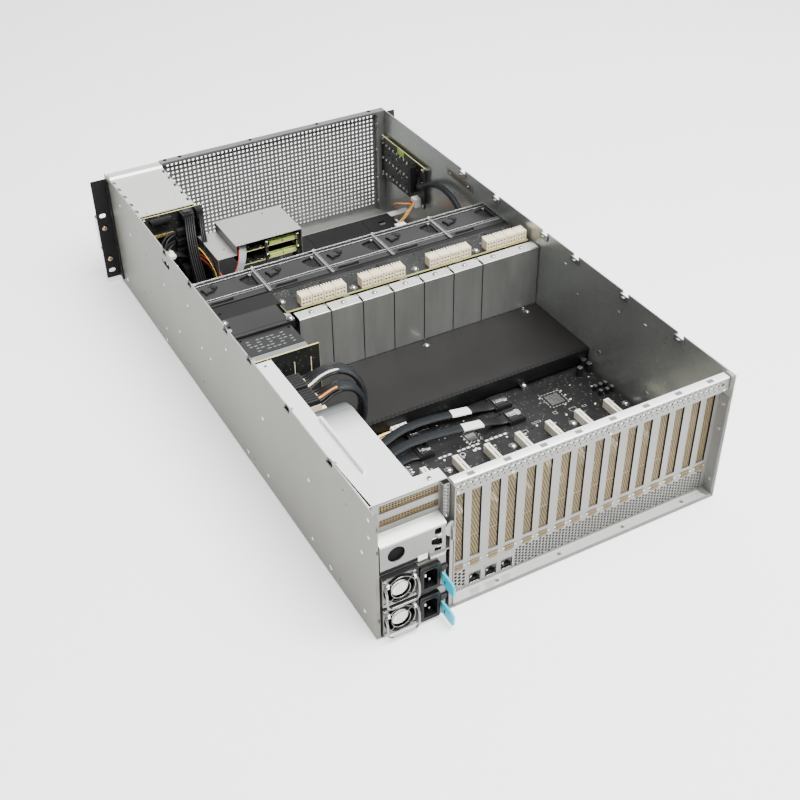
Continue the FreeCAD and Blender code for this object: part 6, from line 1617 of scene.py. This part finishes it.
# ================================================================ folded cover over the supplies
outline = [(217.6, 117.0), (217.6, 382.6), (129.8, 382.6), (129.8, 366.0), (158.6, 366.0), (158.6, 235.2), (197.6, 235.2), (197.6, 117.0)]
mb = MB()
mb.plate(outline, [moved(ring(14, 1.8), 208, 126), moved(ring(14, 1.8), 146, 376)], "z", 165.6, 166.8, "cover_white_lit")
mb.box(197.6, 216.8, 117.0, 118.2, 148.6, 165.7, "galv_rear")
mb.box(216.4, 217.6, 117, 382.6, 148.6, 165.7, "galv_rear")
# rolled front end of the cover; it and the thin sheet after it carry the painted reflection, dark at the front turning
# white towards the rear
roll = [(235.5 - 29.0 * math.sin(math.radians(t)), 136.9 + 29.0 * math.cos(math.radians(t))) for t in range(0, 58, 4)]
roll += [(235.5 - 27.9 * math.sin(math.radians(t)), 136.9 + 27.9 * math.cos(math.radians(t))) for t in range(56, -1, -4)]
mb.prism(roll, "x", 158.6, 196.4, "cover_painted_reflection")
mb.prism(rect2(158.8, 194.9, 235.4, 284.0), "z", 166.75, 166.9, "cover_painted_reflection")
mb.prism([(240, 165.6), (338, 165.6), (338, 170.8), (333, 171.4), (245, 171.4), (240, 170.8)], "x", 195.0, 198.0, "cover_white_lit")
mb.box(158.6, 159.8, 240.5, 366.0, 160.0, 165.8, "galv_top_lit")
mb.prism([(117.0, 166.8), (117.0, 165.6), (115.6, 164.6), (115.6, 160.0), (116.6, 160.0), (116.6, 164.0), (118.0, 165.7), (118.0, 166.8)], "x", 197.6, 217.4, "galv_top_lit")
for x, y in ((146, 376),):
    screw(mb, x, y, 166.8, r=3.0, h=2.4, mat="bright")
# dark wedge on the cover's rear corner paints the shadow in the gap against the wall
mb.prism([(215.6, 300.0), (216.2, 300.0), (214.9, 382.4), (212.6, 382.4)], "z", 166.7, 166.9, "painted_shade_black")
mb.make("supply_cover_detail", bevel=0.2, seg=2, replaces=["psu_cover"])
mb = MB()
mb.prism(rect2(150.5, 158.5, 244, 257, 1.2), "z", 86.2, 105.0, "cream")
mb.prism(rect2(152.5, 157.0, 246, 255, 1.0), "z", 105.0, 107.5, "ivory")
for i in range(2):
    mb.tube(smooth_line([(154, 246, 103), (156, 236, 112), (164, 226, 120), (172, 220, 118)], 6), 1.2, "wire_white", 8) if i == 0 else None
mb.box(150, 166, 300, 312, 86.2, 92, "black_abs")
mb.make("supply_bay_post", bevel=0.3, seg=2)

# ================================================================ power supplies
for k, (zm, n) in enumerate(((64.2, 1), (22.0, 2))):
    mb = MB()
    x0, x1, yf = 141.0, 213.4, 214.0
    fx_ = 194.0
    bore = moved(ring(46, 17.4), fx_, zm)
    inlet = rect2(149.4, 172.2, zm - 17.4, zm + 17.4, 0.8)
    mb.plate(rect2(x0, x1, zm - 20, zm + 20, 1.0), [bore, inlet], "y", 400.3, 401.5, "psu_face")
    mb.box(x0, x1, yf, 400.3, zm + 19.0, zm + 20.0, "psu_face")
    mb.box(x0, x1, yf, 400.3, zm - 20.0, zm - 19.0, "psu_face")
    mb.box(x0, x0 + 1.0, yf, 400.3, zm - 19, zm + 19, "psu_face")
    mb.box(x1 - 1.0, x1, yf, 400.3, zm - 19, zm + 19, "psu_face")
    mb.box(172.8, x1 - 0.2, 393.5, 401.6, zm + 19.95, zm + 20.1, "black_coat")
    mb.box(172.8, x1 - 0.2, 401.4, 401.65, zm + 18.2, zm + 20.05, "black_coat")
    mb.plate(rect2(x0 + 1, x1 - 1, zm - 19, zm + 19), [rect2(x0 + 4 + 7.5 * i, x0 + 7.5 + 7.5 * i, zm - 15, zm + 15, 1.6) for i in range(9)], "y", yf, yf + 1.2, "galv_rear")
    mb.box(x0 + 1.4, x1 - 1.4, yf + 1.4, 388.0, zm - 18.4, zm + 18.4, "galv_mesh")
    # dark disc and sleeve paint the shade inside the fan bore
    mb.lathe("y", (fx_, zm), [(0, 388.2), (17.2, 388.2), (17.2, 389.4), (0, 389.4)], "painted_shade_black", 40)
    mb.lathe("y", (fx_, zm), [(17.0, 389.0), (18.4, 389.0), (18.4, 401.9), (17.0, 401.9)], "painted_shade_black", 44)
    mb.prism([(173.4, zm - 19.2), (176.4, zm - 19.2), (176.4, zm + 19.2), (173.4, zm + 19.2)], "y", 401.4, 401.7, "black_abs")
    # inlet socket: moulded shroud with an opening and three blades
    mouth = [(153.0, zm - 12), (168.6, zm - 12), (168.6, zm + 8.5), (165.4, zm + 12), (156.2, zm + 12), (153.0, zm + 8.5)]
    mb.plate(rect2(149.2, 172.4, zm - 17.8, zm + 17.8, 1.8), [mouth], "y", 401.3, 405.4, "inlet_black")
    # dark blocks behind the mouth paint the shade inside the inlet
    mb.box(150.6, 171.0, 388, 389.4, zm - 15, zm + 15, "painted_shade_black")
    mb.plate(rect2(150.0, 171.6, zm - 16.0, zm + 16.0, 1.2), [mouth], "y", 389.2, 401.4, "painted_shade_black")
    mb.plate(rect2(151.0, 170.6, zm - 14.0, zm + 14.0, 2.2), [mouth], "y", 405.3, 405.9, "inlet_black")
    for dz, dx, m_ in ((6.6, -2.4, "nickel"), (-6.6, -0.6, "bright"), (0.6, 4.0, "bright")):
        mb.prism(rect2(160.0 + dx - 0.9, 160.0 + dx + 0.9, zm + dz - 1.9, zm + dz + 1.9, 0.5), "y", 389.0, 401.0 if m_ == "bright" else 394.0, m_)
    # guard: rings, spokes, feet
    for rr, yy in ((16.6, 403.9), (10.8, 404.2)):
        mb.tube([(fx_ + rr * math.cos(2 * math.pi * i / 44), yy, zm + rr * math.sin(2 * math.pi * i / 44)) for i in range(44)], 0.55, "wire_steel", 12, closed=True)
    for sx_, sz_ in ((1, 1), (1, -1), (-1, 1), (-1, -1)):
        fx, fz = fx_ + 16.5 * sx_, zm + 16.5 * sz_
        mb.lathe("y", (fx, fz), [(2.3, 401.2), (2.3, 402.2), (1.7, 402.8), (0, 403.0)], "wire_steel", 16)
        mb.tube([(fx_ + 7.4 * sx_, 404.1, zm + 7.4 * sz_), (fx_ + 11.8 * sx_, 403.8, zm + 11.8 * sz_), (fx_ + 14.4 * sx_, 403.3, zm + 14.4 * sz_), (fx, 402.2, fz)], 0.5, "wire_steel", 10)
    # lugs that carry the bail's turned-in ends
    for a_, b_ in ((177.6, 179.9), (207.9, 210.2)):
        mb.plate(rect2(401.3, 407.0, zm + 8.8, zm + 14.2, 1.6), [moved(ring(16, 1.5), 404.5, zm + 11.5)], "x", a_, b_, "nickel")
    mb.prism([(139.6, zm + 7.6), (141.2, zm + 8.6), (147.2, zm + 8.6), (147.2, zm + 1.2), (145.0, zm - 0.8), (141.6, zm + 1.4), (139.6, zm + 3.4)], "y", 400.6, 403.2, "inlet_black")
    mb.box(142.2, 143.4, 401.3, 402.2, zm - 17.5, zm - 3.0, "galv_dark")
    mb.make("supply_%d_body" % n, body="psu_%d" % n, bevel=0.12, replaces=["psu_%d_body" % n])

    mb = MB()
    mb.lathe("y", (194, zm), [(0, 389.6), (8.6, 389.6), (9.4, 390.4), (9.4, 399.8), (8.6, 400.6), (0, 400.8)], "black_abs", 30)
    mb.prism(moved(ring(36, 9.5), 194, zm), "y", 400.7, 401.3, "paper")
    for i in range(3):
        mb.prism(rect2(191.6 + 2.6 * i, 191.9 + 2.6 * i, zm - 6.6 + i, zm + 6.6 - i), "y", 401.26, 401.36, "mid_abs")
    for j in range(9):
        a0 = 2 * math.pi * j / 9
        vs, fs = [], []
        for side in (0, 1):
            for i in range(4):
                rr = 8.6 + 7.7 * i / 3.0
                for c in range(4):
                    u = (c / 3.0 - 0.5) * 9.0
                    ang = a0 + (u * 0.78 + side * 0.5) / rr
                    vs.append((194 + rr * math.cos(ang), 394.6 + u * 0.75 + (0.6 if side else 0), zm + rr * math.sin(ang)))
        for i in range(3):
            for c in range(3):
                p = i * 4 + c
                fs.append((p, p + 1, p + 5, p + 4))
                fs.append((16 + p, 16 + p + 4, 16 + p + 5, 16 + p + 1))
        rim = [0, 4, 8, 12, 13, 14, 15, 11, 7, 3, 2, 1]
        for p, r_ in zip(rim, rim[1:] + rim[:1]):
            fs.append((p, r_, 16 + r_, 16 + p))
        mb.add(vs, fs, "grey_abs")
    mb.make("supply_%d_fan" % n, body="psu_%d_rotor" % n, replaces=["psu_%d_rotor" % n])

    mb = MB()
    zc = zm + 11.5
    half = [(209.0, 404.5, zc), (210.9, 404.5, zc), (212.0, 405.3, zc - 1.2), (212.1, 407.9, zc - 5.6), (212.1, 409.0, zc - 8.4), (212.1, 409.5, zm - 8.6), (211.7, 409.5, zm - 12.2),
            (209.9, 409.5, zm - 14.9), (207.6, 409.5, zm - 16.0), (204.9, 409.5, zm - 16.2), (199.0, 409.5, zm - 16.2)]
    bail = half + [(193.9, 409.5, zm - 16.2)] + [(387.8 - x, y, z) for x, y, z in reversed(half)]
    mb.tube(bail, 1.3, "wire_steel", 14)
    mb.make("supply_%d_bail" % n, body="psu_%d_handle" % n, replaces=["psu_%d_handle" % n], angle=50)

    mb = MB()
    mb.box(144.4, 145.8, 369.5, 404.5, zm - 9.0, zm - 6.0, "galv_rear")
    mb.cyl("z", (145.1, 369.5), 1.3, zm - 10, zm - 2, "nickel", 16)
    tab = [(403.2, zm - 1.2), (403.2, zm - 15.2), (405.0, zm - 16.8), (412.0, zm - 17.4), (422.5, zm - 17.4), (425.6, zm - 16.7), (426.7, zm - 14.8), (426.7, zm - 6.0),
           (426.0, zm - 3.4), (424.4, zm - 1.8), (421.5, zm - 1.2)]
    mb.plate(tab, [moved([(a * 1.7, b * 1.9) for a, b in ring(16, 1.0)], 409.4, zm - 10.4)], "x", 144.0, 146.6, "teal")
    # dark block paints the shade in the latch's hole
    mb.box(144.6, 146.3, 407.4, 411.4, zm - 12.6, zm - 8.2, "painted_shade_black")
    mb.make("supply_%d_latch" % n, body="psu_%d_latch" % n, bevel=0.35, seg=2, replaces=["psu_%d_latch" % n])
